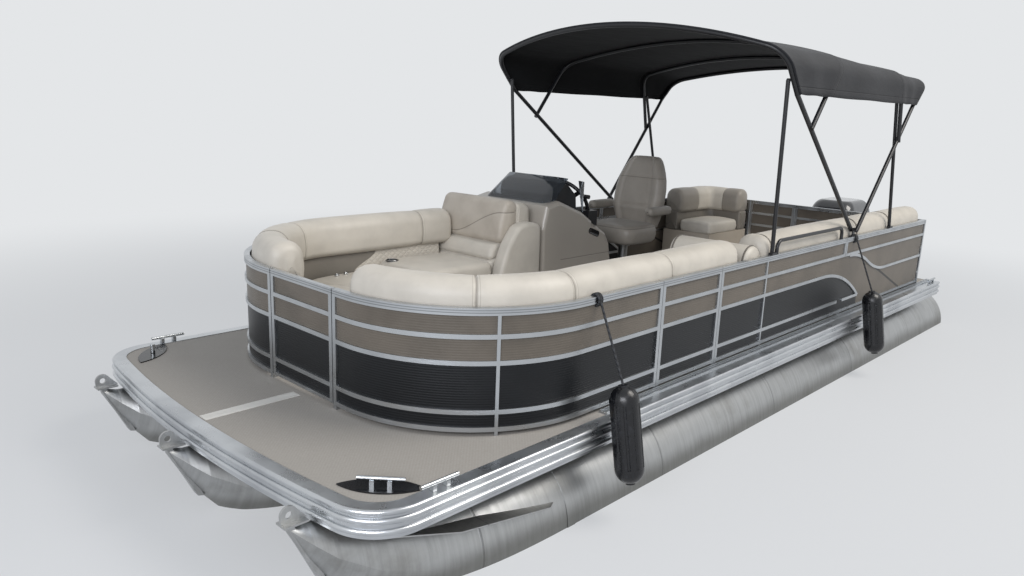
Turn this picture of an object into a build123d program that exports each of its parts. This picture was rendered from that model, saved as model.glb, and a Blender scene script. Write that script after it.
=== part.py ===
from build123d import *
import math
import os

# Pontoon boat on three tubes, with a fenced cockpit, a folding canopy and an outboard motor.
# Frame: +X towards the bow, +Y to port, +Z up. The origin is on the waterline and on the
# centreline, at half the deck's length. All sizes are in millimetres.

# Clearances
SEAT = 0.3                # between a soft or round piece and what it rests on
SWING = 6.0               # between a gate and its posts
PIN_GAP = 0.05            # between a pin and its bore, on the radius

# Deck
BEAM = 2590.0
DECK_FRONT_X = 3305.0
DECK_STERN_X = -3305.0
DECK_TOP = 462.5
DECK_THICKNESS = 20.0
BOW_CROWN_RADIUS = 8000.0
BOW_CORNER_RADIUS = 250.0
RUB_RAIL_DEPTH = 35.0
RUB_RAIL_HEIGHT = 112.0
RUB_RAIL_FLANGE = 75.0
RUB_RAIL_CAP = 5.0
STERN_TRIM = 6.0          # flat strip across the stern end of the deck
STERN_TRIM_STEP = 2.0     # by which the strip stays inside the rail's outline
SILL_HEIGHT = 14.0
SILL_GAP = 2.0            # between a sill and the fence
SILL_FRONT_X = 1750.0

# Tubes
TUBE_RADIUS = 317.5
TUBE_OFFSET = BEAM / 2 - 345.0    # of an outer tube's axis from the centreline
TUBE_STERN_X = -3655.0
NOSE_START_X = 2045.0
CENTRE_LEAD = 50.0        # of the centre tube's nose before the outer ones
BAND_WIDTH = 55.0
BAND_THICKNESS = 3.0
STEM_WIDTH = 40.0
TOW_PLATE_THICKNESS = 8.0
TOW_PLATE_WIDTH = 64.0
TOW_PLATE_REACH = (-80.0, 22.0)   # of the flat plate, from the nose's tip
TOW_EYE_THICKNESS = 12.0
TOW_EYE_RADIUS = 36.0
TOW_EYE_SETBACK = 12.0    # of the eye's hole from the nose's tip
TOW_EYE_TAIL = 76.0       # length of the upright plate aft of its hole
TOW_HOLE_RADIUS = 15.0
STRAKE_LENGTH = 950.0

# Underdeck
CROSS_MEMBER_HEIGHT = 75.0
CROSS_MEMBER_WIDTH = 40.0
CROSS_MEMBER_WALL = 5.0
CROSS_MEMBER_COUNT = 11
CROSS_MEMBER_FRONT_X = 2750.0
CROSS_MEMBER_STERN_X = -3150.0
RISER_WIDTH = 150.0
RISER_WALL = 6.0
RISER_FRONT_X = 2830.0

# Fence
FENCE_HALF_BEAM = BEAM / 2 - 130.0
FENCE_FRONT_X = 2700.0
FENCE_STERN_X = -3053.0
FENCE_CORNER_RADIUS = 800.0
FENCE_STERN_RADIUS = 45.0
FENCE_FOOT = 20.0         # underside of the bottom rail above the deck
FENCE_HEIGHT = 596.0      # top of the top rail above the deck
POST = 25.0
RAIL = 22.0
TOP_RAIL_HEIGHT = 34.0
TOP_RAIL_DEPTH = 32.0
PANEL_INSET = 10.0
PANEL_THICKNESS = 3.0
RAIL_HEIGHTS = (31.0, 114.0, 344.0, 466.0)   # rail centres above the deck
PAIR_GAP = 3.0            # between the two posts where two fence sections meet
DOUBLE_POSTS_X = (1251.0, 641.0, -1205.0)
SINGLE_POSTS_X = (65.0,)
THIN_POST = 16.0          # the single posts, along the fence
BEND_POST_ANGLE = 57.0    # the single post on the bow corner, from the +X direction
ARCH_START_X = -850.0     # where the second lowest rail's arch leaves the level rail above it
ARCH_RADIUS = 1200.0
WAVE_START_X = -1300.0    # where the waved rail leaves the second highest rail
WAVE_END_X = -2100.0
WAVE_DROP = 182.0

# Gates
BOW_GATE_HALF = 283.0
STERN_GATE_PORT_Y = -70.0
STERN_GATE_STARBOARD_Y = -560.0
HINGE_RADIUS = 8.0
HINGE_PIN_RADIUS = 4.0
HINGE_HEIGHTS = (150.0, 420.0)
HINGE_LENGTH = 50.0

# Lounges
BASE_HEIGHT = 290.0
BASE_INNER_Y = 440.0
SEAT_INNER_Y = 405.0
SEAT_THICKNESS = 110.0
BACK_TOP = 700.0
BACK_THICKNESS = 190.0
CUSHION_GAP = 24.0        # between a back cushion and the fence
BACK_ROUNDING = 70.0      # along the top of a back cushion
GATE_SEAT_GAP = 45.0
PORT_LOUNGE_END_X = 345.0
CHAISE_FRONT_X = 960.0    # foot of the chaise's backrest
CHAISE_STERN_X = 545.0
CHAISE_LEAN = 175.0       # of the backrest's front face, from its foot to its top
CHAISE_TOP = 815.0
CHAISE_INNER_Y = -330.0
CHAISE_BOLSTER_WIDTH = 110.0
CHAISE_BOLSTER_TOP = 660.0
AFT_LOUNGE_FRONT_X = 250.0
AFT_BASE_INNER_Y = 560.0
AFT_BENCH_FRONT_X = -2250.0
BOLSTER_RADIUS = 100.0
BOLSTER_HEIGHT = 560.0    # of the roll's axis above the deck

# Helm
CONSOLE_INNER_Y = -350.0
CONSOLE_ROUNDING = 30.0
POCKET = (-95.0, 600.0, 105.0, 42.0, 40.0)    # x, height above the deck, length, height, depth
FOOTWELL_HEIGHT = 330.0
FOOTWELL_SIDE = 100.0     # thickness of the console beside the footwell
SCREEN_THICKNESS = 6.0
SCREEN_INSET = 30.0       # of the windscreen from the console's sides
SCREEN_MIDDLE_X = 215.0
SCREEN_LENGTH = 560.0
SCREEN_CORNER = 150.0
SCREEN_BAND = (745.0, 1025.0)     # lowest and highest place of the screen above the deck
WHEEL_CENTRE = (-165.0, -690.0, 1215.0)
WHEEL_RADIUS = 180.0
WHEEL_TUBE_RADIUS = 15.0
WHEEL_LEAN = 35.0         # of the wheel's axis above the horizontal
WHEEL_HUB_RADIUS = 38.0
HUB_HALF = 17.0
WHEEL_SHAFT_RADIUS = 12.0
SHAFT_LENGTH = 107.0      # from the wheel's centre down into the collar
COLLAR_RADIUS = 42.0
COLLAR_GAP = 13.0         # between the wheel's hub and the collar
COLLAR_LENGTH = 220.0
POD_INSET = 110.0         # of the instrument pod from the console's sides
THROTTLE_X = (-205.0, -95.0)
THROTTLE_INSET = 110.0    # of the lever from the console's inner side
THROTTLE_WIDTH = 80.0
THROTTLE_BOTTOM = 500.0
THROTTLE_TOP = 690.0
LEVER_X = -90.0
LEVER_RISE = 110.0        # of the lever's grip above its box
LEVER_RADIUS = 9.0
GRIP_RADIUS = 16.0
CHAIR_X = -960.0
CHAIR_Y = -690.0
CHAIR_SEAT_BOTTOM = 340.0
CHAIR_SEAT_TOP = 470.0
CHAIR_BACK_TOP = 1075.0
BRACKET_THICKNESS = 8.0
BRACKET_SPINE = (-256.0, -238.0)  # upright that carries the chair's back, from the pedestal
BRACKET_SPINE_WIDTH = 120.0
BRACKET_SPINE_RISE = 120.0        # of the upright above the seat
SWIVEL_RADIUS = 60.0
SWIVEL_HEIGHT = 40.0
SWIVEL_PIN_RADIUS = 20.0
SWIVEL_PIN_LENGTH = 30.0
PEDESTAL_RADIUS = 40.0
PEDESTAL_BASE_RADIUS = 150.0

# Canopy
CANOPY_TUBE_RADIUS = 15.0
CANOPY_HALF_BEAM = FENCE_HALF_BEAM + 50.0
CANOPY_EDGE_Z = 2055.0
CANOPY_THICKNESS = 6.0
CANOPY_SHOULDER = 0.9     # share of the half beam where the crown's arc is measured
CANOPY_CROWN_DROP = 0.34  # share of a bow's rise from the crown down to that place
CANOPY_CORNER = 0.35      # corner radius as a share of a bow's rise
ELBOW_STEP = 0.5          # by which a main bow's elbow is thicker than its tube
STRUT_RADIUS = 13.0
PIVOT_LUG = 8.0
PIVOT_PLAY = 1.5          # between a lug and the leg beside it
PIVOT_X = -1345.0
PIVOT_Z = 1105.0
FRONT_STRUT_X = -15.0
STERN_STRUT_X = -2135.0

# Grab rail
GRAB_RAIL_X = (-70.0, -1120.0)
GRAB_RAIL_HEIGHT = 85.0
GRAB_RAIL_RADIUS = 12.0

# Fenders
FENDER_RADIUS = 72.0
FENDER_LENGTH = 480.0
FENDER_NECK_RADIUS = 24.0
FLUTE_RADIUS = 9.0
FLUTE_COUNT = 10
FENDER_LEAN = 10.0
FENDER_RISE = 190.0       # of a fender's top above its contact with the rub rail
FENDERS_X = (1800.0, -1370.0)
LINE_RADIUS = 6.0

# Outboard motor
TRANSOM_X = -3655.0
TRANSOM_TOP = 335.0
TRANSOM_BOTTOM = 60.0
TRANSOM_WIDTH = 560.0
TRANSOM_THICKNESS = 40.0
POD_FRONT_X = -3250.0
POD_DEPTH = 45.0          # of the pod's side webs at their front end
POD_WEB = 8.0
CLAMP_OFFSET = 150.0      # of a clamp plate's middle from the centreline
CLAMP_THICKNESS = 28.0
TILT_X = -3700.0
TILT_Z = 390.0
TILT_PIN_RADIUS = 14.0
TILT_PIN_LENGTH = 340.0
TILT_BARREL_RADIUS = 34.0
TILT_BARREL_LENGTH = 250.0
STEER_X = -3790.0
STEER_MIDDLE_Z = 240.0
STEER_POST_RADIUS = 38.0
STEER_POST_LENGTH = 330.0
STEER_SHAFT_RADIUS = 25.0
STEER_SHAFT = (60.0, 470.0)       # lowest and highest place of the steering shaft
MOTOR_SWING = 6.0         # between the steered motor and the tilt barrel
YOKE_LOW_THICKNESS = 35.0
SPLASH_PLATE = (430.0, 230.0, 8.0)    # length, width, thickness
SPLASH_PLATE_Z = -248.0
GEARCASE_RADIUS = 52.0
GEARCASE_X = (-3982.0, -3730.0)   # stern end, and where its rounded nose starts
SKEG_DEPTH = 215.0
SKEG_THICKNESS = 10.0
STRUT_THICKNESS = 32.0    # between the splash plate and the gearcase
COVER_BOTTOM = 470.0
COVER_TOP = 1070.0
COVER_WIDTH = 500.0
PROPELLER_Z = -440.0
PROPELLER_X = -4010.0
PROPELLER_RADIUS = 178.0
HUB_RADIUS = 45.0
HUB_LENGTH = 96.0
PROP_SHAFT_RADIUS = 12.0
BLADE_PITCH = 28.0
BLADE_THICKNESS = 7.0
BLADE_COUNT = 3
PROP_SHAFT_LENGTH = 160.0
PROP_SETBACK = 35.0       # of the propeller's middle from the gearcase's reference


def box(x, y, z):
    """A box between two corners, each axis given as (low, high)."""
    size = (x[1] - x[0], y[1] - y[0], z[1] - z[0])
    centre = ((x[0] + x[1]) / 2, (y[0] + y[1]) / 2, (z[0] + z[1]) / 2)
    return Pos(*centre) * Box(*size)


def rod(start, end, radius):
    """A round bar from start to end."""
    axis = Vector(*end) - Vector(*start)
    plane = Plane(origin=start, z_dir=axis)
    return plane * extrude(Circle(radius), amount=axis.length)


def mirrored(shape):
    """The same piece on the starboard side."""
    return mirror(shape, about=Plane.XZ)


def group(solids):
    """One node of several solids that don't touch each other's insides."""
    flat = []
    for shape in solids:
        flat.extend(shape.solids())
    return Compound(children=flat)


def deck_edge(inset):
    """Edge of the deck from the port stern corner round the bow to the starboard one."""
    half = BEAM / 2 - inset
    corner = BOW_CORNER_RADIUS - inset
    crown = BOW_CROWN_RADIUS - inset
    crown_x = DECK_FRONT_X - BOW_CROWN_RADIUS
    corner_x = crown_x + math.sqrt((crown - corner) ** 2 - (half - corner) ** 2)
    lean = math.atan2(half - corner, corner_x - crown_x)
    middle = (math.pi / 2 + lean) / 2
    meet = (crown_x + crown * math.cos(lean), crown * math.sin(lean))
    bend = (corner_x + corner * math.cos(middle), half - corner + corner * math.sin(middle))
    side = Line((DECK_STERN_X, half), (corner_x, half))
    turn = ThreePointArc((corner_x, half), bend, meet)
    bow = ThreePointArc(meet, (crown_x + crown, 0), (meet[0], -meet[1]))
    far_turn = ThreePointArc((meet[0], -meet[1]), (bend[0], -bend[1]), (corner_x, -half))
    far_side = Line((corner_x, -half), (DECK_STERN_X, -half))
    return [side, turn, bow, far_turn, far_side]


def deck_plan(inset):
    """Plan of the deck moved inwards by inset at the bow and sides."""
    half = BEAM / 2 - inset
    edges = deck_edge(inset) + [Line((DECK_STERN_X, -half), (DECK_STERN_X, half))]
    return make_face(edges)


def fence_plan(inset):
    """Plan of the fence moved inwards by inset."""
    half = FENCE_HALF_BEAM - inset
    front = FENCE_FRONT_X - inset
    stern = FENCE_STERN_X + inset
    plan = Pos((front + stern) / 2, 0) * Rectangle(front - stern, 2 * half)
    rows = plan.vertices().group_by(Axis.X)
    plan = fillet(rows[-1], FENCE_CORNER_RADIUS - inset)
    rows = plan.vertices().group_by(Axis.X)
    return fillet(rows[0], max(FENCE_STERN_RADIUS - inset, 4.0))


def fence_ring(outer, inner, low, high):
    """A band that follows the fence, between two insets and two heights above the deck."""
    plan = fence_plan(outer) - fence_plan(inner)
    return Pos(0, 0, DECK_TOP + low) * extrude(plan, amount=high - low)


def deck():
    """Deck board, inside the rub rail."""
    plan = deck_plan(RUB_RAIL_DEPTH)
    return Pos(0, 0, DECK_TOP - DECK_THICKNESS) * extrude(plan, amount=DECK_THICKNESS)


def rub_rail():
    """Ribbed extrusion round the deck's edge, with a flange on top of the deck."""
    path = Wire(deck_edge(0))
    foot = -RUB_RAIL_HEIGHT
    groove = -12.0
    upper = (-18.0, -27.0, -40.0, -53.0)
    lower = (-62.0, -71.0, -84.0, -97.0)
    profile = [
        Line((-RUB_RAIL_FLANGE, 0), (-RUB_RAIL_FLANGE, RUB_RAIL_CAP)),
        Line((-RUB_RAIL_FLANGE, RUB_RAIL_CAP), (-16, RUB_RAIL_CAP + 1)),
        ThreePointArc((-16, RUB_RAIL_CAP + 1), (-4, -2), (groove, upper[0])),
        Line((groove, upper[0]), (groove, upper[1])),
        ThreePointArc((groove, upper[1]), (0, upper[2]), (groove, upper[3])),
        Line((groove, upper[3]), (groove, lower[0])),
        Line((groove, lower[0]), (groove, lower[1])),
        ThreePointArc((groove, lower[1]), (0, lower[2]), (groove, lower[3])),
        Line((groove, lower[3]), (groove, foot)),
        Line((groove, foot), (-RUB_RAIL_DEPTH, foot)),
        Line((-RUB_RAIL_DEPTH, foot), (-RUB_RAIL_DEPTH, 0)),
        Line((-RUB_RAIL_DEPTH, 0), (-RUB_RAIL_FLANGE, 0)),
    ]
    start = Plane(origin=path @ 0, x_dir=(0, 1, 0), z_dir=(1, 0, 0))
    rail = sweep(start * make_face(profile), path=path)
    half = BEAM / 2 + groove - STERN_TRIM_STEP
    stern = box((DECK_STERN_X - STERN_TRIM, DECK_STERN_X), (-half, half),
                (foot + STERN_TRIM_STEP, RUB_RAIL_CAP - STERN_TRIM_STEP))
    return Pos(0, 0, DECK_TOP) * (rail + stern)


def side_sills():
    """Ribbed extrusions on the deck between the fence and the rub rail's flange."""
    inner = FENCE_HALF_BEAM + SILL_GAP
    outer = BEAM / 2 - RUB_RAIL_FLANGE
    ribs = 3
    pitch = (outer - inner) / ribs
    sill = box((DECK_STERN_X, SILL_FRONT_X), (inner, outer), (DECK_TOP, DECK_TOP + SILL_HEIGHT / 2))
    for index in range(ribs):
        middle = inner + (index + 0.5) * pitch
        rib = box((DECK_STERN_X, SILL_FRONT_X), (middle - pitch / 4, middle + pitch / 4),
                  (DECK_TOP, DECK_TOP + SILL_HEIGHT))
        sill += rib
    return group([sill, mirrored(sill)])


# Nose sections, from the weld band to the tip.
# columns: distance, top, bottom, half width, height of the widest point, roundness below, above
NOSE_SECTIONS = (
    (0.0, 317.5, -317.5, 317.5, 0.0, 1.0, 1.0),
    (350.0, 321.0, -303.0, 308.0, 15.0, 1.0, 1.0),
    (700.0, 327.0, -238.0, 268.0, 62.0, 0.8, 0.9),
    (1000.0, 334.0, -85.0, 190.0, 140.0, 0.5, 0.8),
    (1150.0, 341.0, 95.0, 118.0, 225.0, 0.3, 0.7),
    (1220.0, 346.0, 195.0, 68.0, 285.0, 0.2, 0.6),
    (1300.0, 370.0, 345.0, 14.0, 360.0, 0.1, 0.5),
)


def nose_section(row, y):
    """One upright section of a nose, made of four arcs."""
    distance, top, bottom, half, middle, below, above = row
    low = 0.5 + 0.2071 * below
    high = 0.5 + 0.2071 * above
    right = (half, middle)
    left = (-half, middle)
    low_arc = (half * low, middle - (middle - bottom) * low)
    high_arc = (half * high, middle + (top - middle) * high)
    edges = [
        ThreePointArc((0, bottom), low_arc, right),
        ThreePointArc(right, high_arc, (0, top)),
        ThreePointArc((0, top), (-high_arc[0], high_arc[1]), left),
        ThreePointArc(left, (-low_arc[0], low_arc[1]), (0, bottom)),
    ]
    plane = Plane(origin=(nose_x(y) + distance, y, 0), x_dir=(0, 1, 0), z_dir=(1, 0, 0))
    return plane * make_face(edges)


def nose_x(y):
    """Where a tube's nose starts: the centre tube's is further forward."""
    return NOSE_START_X if y else NOSE_START_X + CENTRE_LEAD


def tube(y, outer_side):
    """Round tube with a weld band and a nose that narrows to a stem."""
    front = nose_x(y)
    length = front - TUBE_STERN_X
    middle = (front + TUBE_STERN_X) / 2
    body = Pos(middle, y, 0) * Rot(0, 90, 0) * Cylinder(TUBE_RADIUS, length)
    nose = loft([nose_section(row, y) for row in NOSE_SECTIONS[:4]])
    nose += loft([nose_section(row, y) for row in NOSE_SECTIONS[3:]], ruled=True)
    band = Pos(front, y, 0) * Rot(0, 90, 0) * Cylinder(TUBE_RADIUS + BAND_THICKNESS, BAND_WIDTH)
    shape = body + band + nose
    shape += stem(y)
    if outer_side:
        shape += strake(y, outer_side)
    return shape


def stem(y):
    """Flat bar on the front edge of a nose."""
    low = NOSE_SECTIONS[4]
    tip = NOSE_SECTIONS[-1]
    start = (nose_x(y) + low[0] - 8, low[2] - 6)
    end = (nose_x(y) + tip[0] + 4, tip[1])
    outline = Polyline(start, (start[0] + 30, start[1] + 8), end, (end[0] - 26, end[1]), close=True)
    plane = Plane(origin=(0, y + STEM_WIDTH / 2, 0), x_dir=(1, 0, 0), z_dir=(0, -1, 0))
    return plane * extrude(make_face(outline), amount=STEM_WIDTH)


def strake(y, side):
    """Spray strake on the outer flank of an outer tube's nose."""
    start_x = NOSE_START_X + 40
    edge_y = y + side * (TUBE_RADIUS + 6)
    inner_y = y + side * (TUBE_RADIUS - 110)
    plan = make_face(Polyline(
        (start_x, y + side * (TUBE_RADIUS - 70)),
        (start_x + 120, edge_y - side * 4),
        (start_x + STRAKE_LENGTH * 0.7, edge_y - side * 14),
        (start_x + STRAKE_LENGTH, inner_y),
        close=True))
    blade = extrude(plan, amount=6)
    return Pos(start_x, 0, 130) * Rot(0, -9, 0) * Pos(-start_x, 0, 0) * blade


def tow_eyes():
    """An upright eye plate on a flat plate at each nose's tip."""
    seat_z = NOSE_SECTIONS[-1][1] + SEAT
    eyes = []
    for y in (TUBE_OFFSET, 0.0, -TUBE_OFFSET):
        tip_x = nose_x(y) + NOSE_SECTIONS[-1][0]
        half = TOW_PLATE_WIDTH / 2
        top = seat_z + TOW_PLATE_THICKNESS
        plate = box([tip_x + reach for reach in TOW_PLATE_REACH], (y - half, y + half), (seat_z, top))
        foot = 4 - TOW_EYE_RADIUS
        eye_x = tip_x - TOW_EYE_SETBACK
        eye_z = top - foot
        blade = Circle(TOW_EYE_RADIUS)
        blade += make_face(Polyline(
            (TOW_EYE_RADIUS, 0), (TOW_EYE_RADIUS - 2, foot),
            (-TOW_EYE_TAIL, foot), (-24, 26), close=True))
        blade &= window((-2 * TOW_EYE_TAIL, 2 * TOW_EYE_TAIL), (foot, 3 * TOW_EYE_RADIUS))
        blade -= Circle(TOW_HOLE_RADIUS)
        plane = Plane(origin=(eye_x, y + TOW_EYE_THICKNESS / 2, eye_z), x_dir=(1, 0, 0), z_dir=(0, -1, 0))
        eyes.append(plate + plane * extrude(blade, amount=TOW_EYE_THICKNESS))
    return group(eyes)


def risers(tubes):
    """A channel along each tube that carries the cross members."""
    low = TUBE_RADIUS - 30
    high = DECK_TOP - DECK_THICKNESS - CROSS_MEMBER_HEIGHT
    length = (CROSS_MEMBER_STERN_X - 60, RISER_FRONT_X)
    solids = []
    for y, hull in zip((TUBE_OFFSET, 0.0, -TUBE_OFFSET), tubes):
        half = RISER_WIDTH / 2
        shape = box(length, (y - half, y + half), (low, high))
        shape -= box((length[0] - 1, length[1] + 1), (y - half + RISER_WALL, y + half - RISER_WALL),
                     (low - 1, high - RISER_WALL))
        solids.append(shape - hull)
    return group(solids)


def cross_members():
    """Channels under the deck, from side to side."""
    high = DECK_TOP - DECK_THICKNESS
    low = high - CROSS_MEMBER_HEIGHT
    half = BEAM / 2 - RUB_RAIL_DEPTH - 12
    pitch = (CROSS_MEMBER_FRONT_X - CROSS_MEMBER_STERN_X) / (CROSS_MEMBER_COUNT - 1)
    beam = box((0, CROSS_MEMBER_WIDTH), (-half, half), (low, high))
    beam -= box((CROSS_MEMBER_WALL, CROSS_MEMBER_WIDTH + 1), (-half - 1, half + 1),
                (low + CROSS_MEMBER_WALL, high - CROSS_MEMBER_WALL))
    return group([Pos(CROSS_MEMBER_STERN_X + index * pitch, 0, 0) * beam
                  for index in range(CROSS_MEMBER_COUNT)])


def rail_bands():
    """Low and high edge of each rail above the deck, from the bottom one up to the top one."""
    bands = [(height - RAIL / 2, height + RAIL / 2) for height in RAIL_HEIGHTS]
    bands[0] = (FENCE_FOOT, RAIL_HEIGHTS[0] + RAIL / 2)
    bands.append((FENCE_HEIGHT - TOP_RAIL_HEIGHT, FENCE_HEIGHT))
    return bands


def upright(x, y, angle=0.0, depth=POST, width=POST):
    """One post on the deck, its outer face on the fence line."""
    post = Box(depth, width, FENCE_HEIGHT)
    return Pos(x, y, DECK_TOP + FENCE_HEIGHT / 2) * Rot(0, 0, angle) * post


def side_face(face, outer=0.0, depth=RAIL):
    """A face drawn in x and height above the deck, raised inwards from the port fence's outer side."""
    plane = Plane(origin=(0, FENCE_HALF_BEAM - outer - depth, DECK_TOP), x_dir=(1, 0, 0), z_dir=(0, -1, 0))
    return plane * extrude(face, amount=-depth)


def arch_end_x():
    """Where the arch comes down on the second lowest rail."""
    drop = RAIL_HEIGHTS[2] - RAIL_HEIGHTS[1]
    return ARCH_START_X - math.sqrt(ARCH_RADIUS ** 2 - (ARCH_RADIUS - drop) ** 2)


def arch_disc(reach):
    """Disc about the arch's centre, larger than the arch by reach."""
    return Pos(ARCH_START_X, RAIL_HEIGHTS[2] - ARCH_RADIUS) * Circle(ARCH_RADIUS + reach)


def window(x, z):
    """Rectangle in x and height above the deck, between two corners."""
    return Pos((x[0] + x[1]) / 2, (z[0] + z[1]) / 2) * Rectangle(x[1] - x[0], z[1] - z[0])


def arch_rail():
    """Rail that comes down from the level rail in one arc."""
    half = RAIL / 2
    ring = arch_disc(half) - arch_disc(-half)
    quarter = window((arch_end_x() - half, ARCH_START_X), (RAIL_HEIGHTS[1], RAIL_HEIGHTS[2] + half))
    return side_face(ring & quarter)


def wave_rail():
    """Rail that leaves the second highest one in two arcs and runs level to the stern."""
    half = RAIL / 2
    run = (WAVE_START_X - WAVE_END_X) / 2
    radius = (run ** 2 + (WAVE_DROP / 2) ** 2) / WAVE_DROP
    high = RAIL_HEIGHTS[3] - half
    low = high - WAVE_DROP
    middle_x = WAVE_START_X - run
    upper = Pos(WAVE_START_X, high - radius) * (Circle(radius + half) - Circle(radius - half))
    lower = Pos(WAVE_END_X, low + radius) * (Circle(radius + half) - Circle(radius - half))
    rail = upper & window((middle_x, WAVE_START_X), (low, high + half))
    rail += lower & window((WAVE_END_X, middle_x), (low - half, high))
    rail += window((FENCE_STERN_X + FENCE_STERN_RADIUS, WAVE_END_X), (low - half, low + half))
    return side_face(rail)


def fence_rails():
    """All rails of the whole fence, before it is cut into sections."""
    bands = rail_bands()
    rails = fence_ring(0, RAIL, *bands[0])
    for band in bands[1:-1]:
        rails += fence_ring(0, RAIL, *band)
    rails += fence_ring(0, TOP_RAIL_DEPTH, *bands[-1])
    stern = FENCE_STERN_X + FENCE_STERN_RADIUS
    for index, end in ((1, arch_end_x()), (2, ARCH_START_X)):
        gap = side_face(window((stern, end), (bands[index][0] - 1, bands[index][1] + 1)), -1, POST + 2)
        rails = rails - gap - mirrored(gap)
    for rail in (arch_rail(), wave_rail()):
        rails = rails + rail + mirrored(rail)
    return rails


def side_posts():
    """Places along the side of the posts that stand in pairs."""
    half = (POST + PAIR_GAP) / 2
    places = []
    for x in DOUBLE_POSTS_X:
        places += [x - half, x + half]
    return places


def port_posts():
    """Posts of the port fence, at the gate, on the bend, along the side and at the stern."""
    line = FENCE_HALF_BEAM - POST / 2
    bend_x = FENCE_FRONT_X - FENCE_CORNER_RADIUS
    bend_y = FENCE_HALF_BEAM - FENCE_CORNER_RADIUS
    reach = FENCE_CORNER_RADIUS - POST / 2
    turn = math.radians(BEND_POST_ANGLE)
    posts = [upright(FENCE_FRONT_X - POST / 2, BOW_GATE_HALF + SWING / 2 + POST / 2)]
    bend = (bend_x + reach * math.cos(turn), bend_y + reach * math.sin(turn))
    posts.append(upright(*bend, BEND_POST_ANGLE, POST, THIN_POST))
    posts += [upright(x, line, 0.0, THIN_POST) for x in SINGLE_POSTS_X]
    posts += [upright(x, line) for x in side_posts()]
    return posts


def fence_side():
    """Port fence frame as separate sections, from the bow gate to the stern corner."""
    body = fence_rails()
    for post in port_posts():
        body += post
    aft = DOUBLE_POSTS_X[-1]
    bands = rail_bands()
    covered = window((aft - 2 * POST, aft + 2 * POST), (bands[0][1], bands[3][0]))
    posts = body & side_face(covered, -1, POST + 2)
    body -= side_face(covered, -1, PANEL_INSET + PANEL_THICKNESS + 1)
    body += posts & (arch_rail() + wave_rail())
    low = DECK_TOP - 50
    high = DECK_TOP + FENCE_HEIGHT + 50
    reach = (FENCE_HALF_BEAM - FENCE_STERN_RADIUS, FENCE_HALF_BEAM + 50)
    cuts = [FENCE_STERN_X + FENCE_STERN_RADIUS + PAIR_GAP / 2] + sorted(DOUBLE_POSTS_X)
    sections = []
    for index, start in enumerate(cuts):
        front = FENCE_FRONT_X + 50
        wide = (BOW_GATE_HALF + SWING / 2, reach[1])
        if index + 1 < len(cuts):
            front = cuts[index + 1] - PAIR_GAP / 2
            wide = reach
        sections.append(body & box((start + PAIR_GAP / 2, front), wide, (low, high)))
    return sections


def stern_fence():
    """Stern fence frame, to port and to starboard of the stern gate."""
    body = fence_rails()
    middle = FENCE_STERN_X + POST / 2
    edge_port = STERN_GATE_PORT_Y + SWING / 2 + POST / 2
    edge_starboard = STERN_GATE_STARBOARD_Y - SWING / 2 - POST / 2
    corner = FENCE_HALF_BEAM - POST / 2 - 3
    for y in (edge_port, edge_starboard, corner, -corner):
        body += upright(middle, y)
    x = (FENCE_STERN_X - 50, FENCE_STERN_X + FENCE_STERN_RADIUS)
    z = (DECK_TOP - 50, DECK_TOP + FENCE_HEIGHT + 50)
    port = body & box(x, (edge_port - POST / 2, FENCE_HALF_BEAM + 50), z)
    starboard = body & box(x, (-FENCE_HALF_BEAM - 50, edge_starboard + POST / 2), z)
    return [port, starboard]


def panel_bands():
    """The black bands and the tan bands of panels, as (low, high) above the deck."""
    bands = rail_bands()
    gaps = [(bands[index][1], bands[index + 1][0]) for index in range(len(bands) - 1)]
    return gaps[:2], gaps[2:]


def arch_field():
    """Area inside the arch, and under the second lowest rail forward of the arch's end."""
    high = RAIL_HEIGHTS[2] + RAIL / 2
    end = arch_end_x() - RAIL / 2
    field = arch_disc(0) & window((end, ARCH_START_X), (RAIL_HEIGHTS[1], high))
    return field + window((end, ARCH_START_X), (FENCE_FOOT, RAIL_HEIGHTS[1]))


def stern_field():
    """Area of the port side's panels aft of the arch's start."""
    stern = FENCE_STERN_X + FENCE_STERN_RADIUS + PAIR_GAP
    return window((stern, ARCH_START_X), (rail_bands()[0][1], rail_bands()[3][0]))


def fence_panels(gaps, side, frames):
    """Sheet panels between the rails, with side as the port side's aft panel, cut clear of frames and gates."""
    sheets = fence_ring(PANEL_INSET, PANEL_INSET + PANEL_THICKNESS, *gaps[0])
    for gap in gaps[1:]:
        sheets += fence_ring(PANEL_INSET, PANEL_INSET + PANEL_THICKNESS, *gap)
    z = (DECK_TOP, DECK_TOP + FENCE_HEIGHT)
    bow_half = BOW_GATE_HALF + SWING / 2
    sheets -= box((FENCE_FRONT_X - 50, FENCE_FRONT_X + 50), (-bow_half, bow_half), z)
    sheets -= box((FENCE_STERN_X - 50, FENCE_STERN_X + 50),
                  (STERN_GATE_STARBOARD_Y - SWING / 2, STERN_GATE_PORT_Y + SWING / 2), z)
    field = side_face(stern_field(), -1, POST + 2)
    sheet = side_face(side, PANEL_INSET, PANEL_THICKNESS)
    sheets = sheets - field - mirrored(field) + sheet + mirrored(sheet)
    for frame in frames:
        sheets -= frame
    return group([solid for solid in sheets.solids() if solid.volume > 100])


def gate_frame(x_face, inward, y_low, y_high):
    """Square-tube gate frame whose outer face is on x_face; inward is +1 or -1 along X."""
    x = sorted((x_face, x_face + inward * POST))
    rails = [(low + 5 if low == FENCE_FOOT else low, high) for low, high in rail_bands()]
    z = (DECK_TOP + rails[0][0], DECK_TOP + rails[-1][1])
    frame = box(x, (y_low, y_low + POST), z) + box(x, (y_high - POST, y_high), z)
    for low, high in rails:
        frame += box(x, (y_low + POST, y_high - POST), (DECK_TOP + low, DECK_TOP + high))
    return frame


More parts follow.
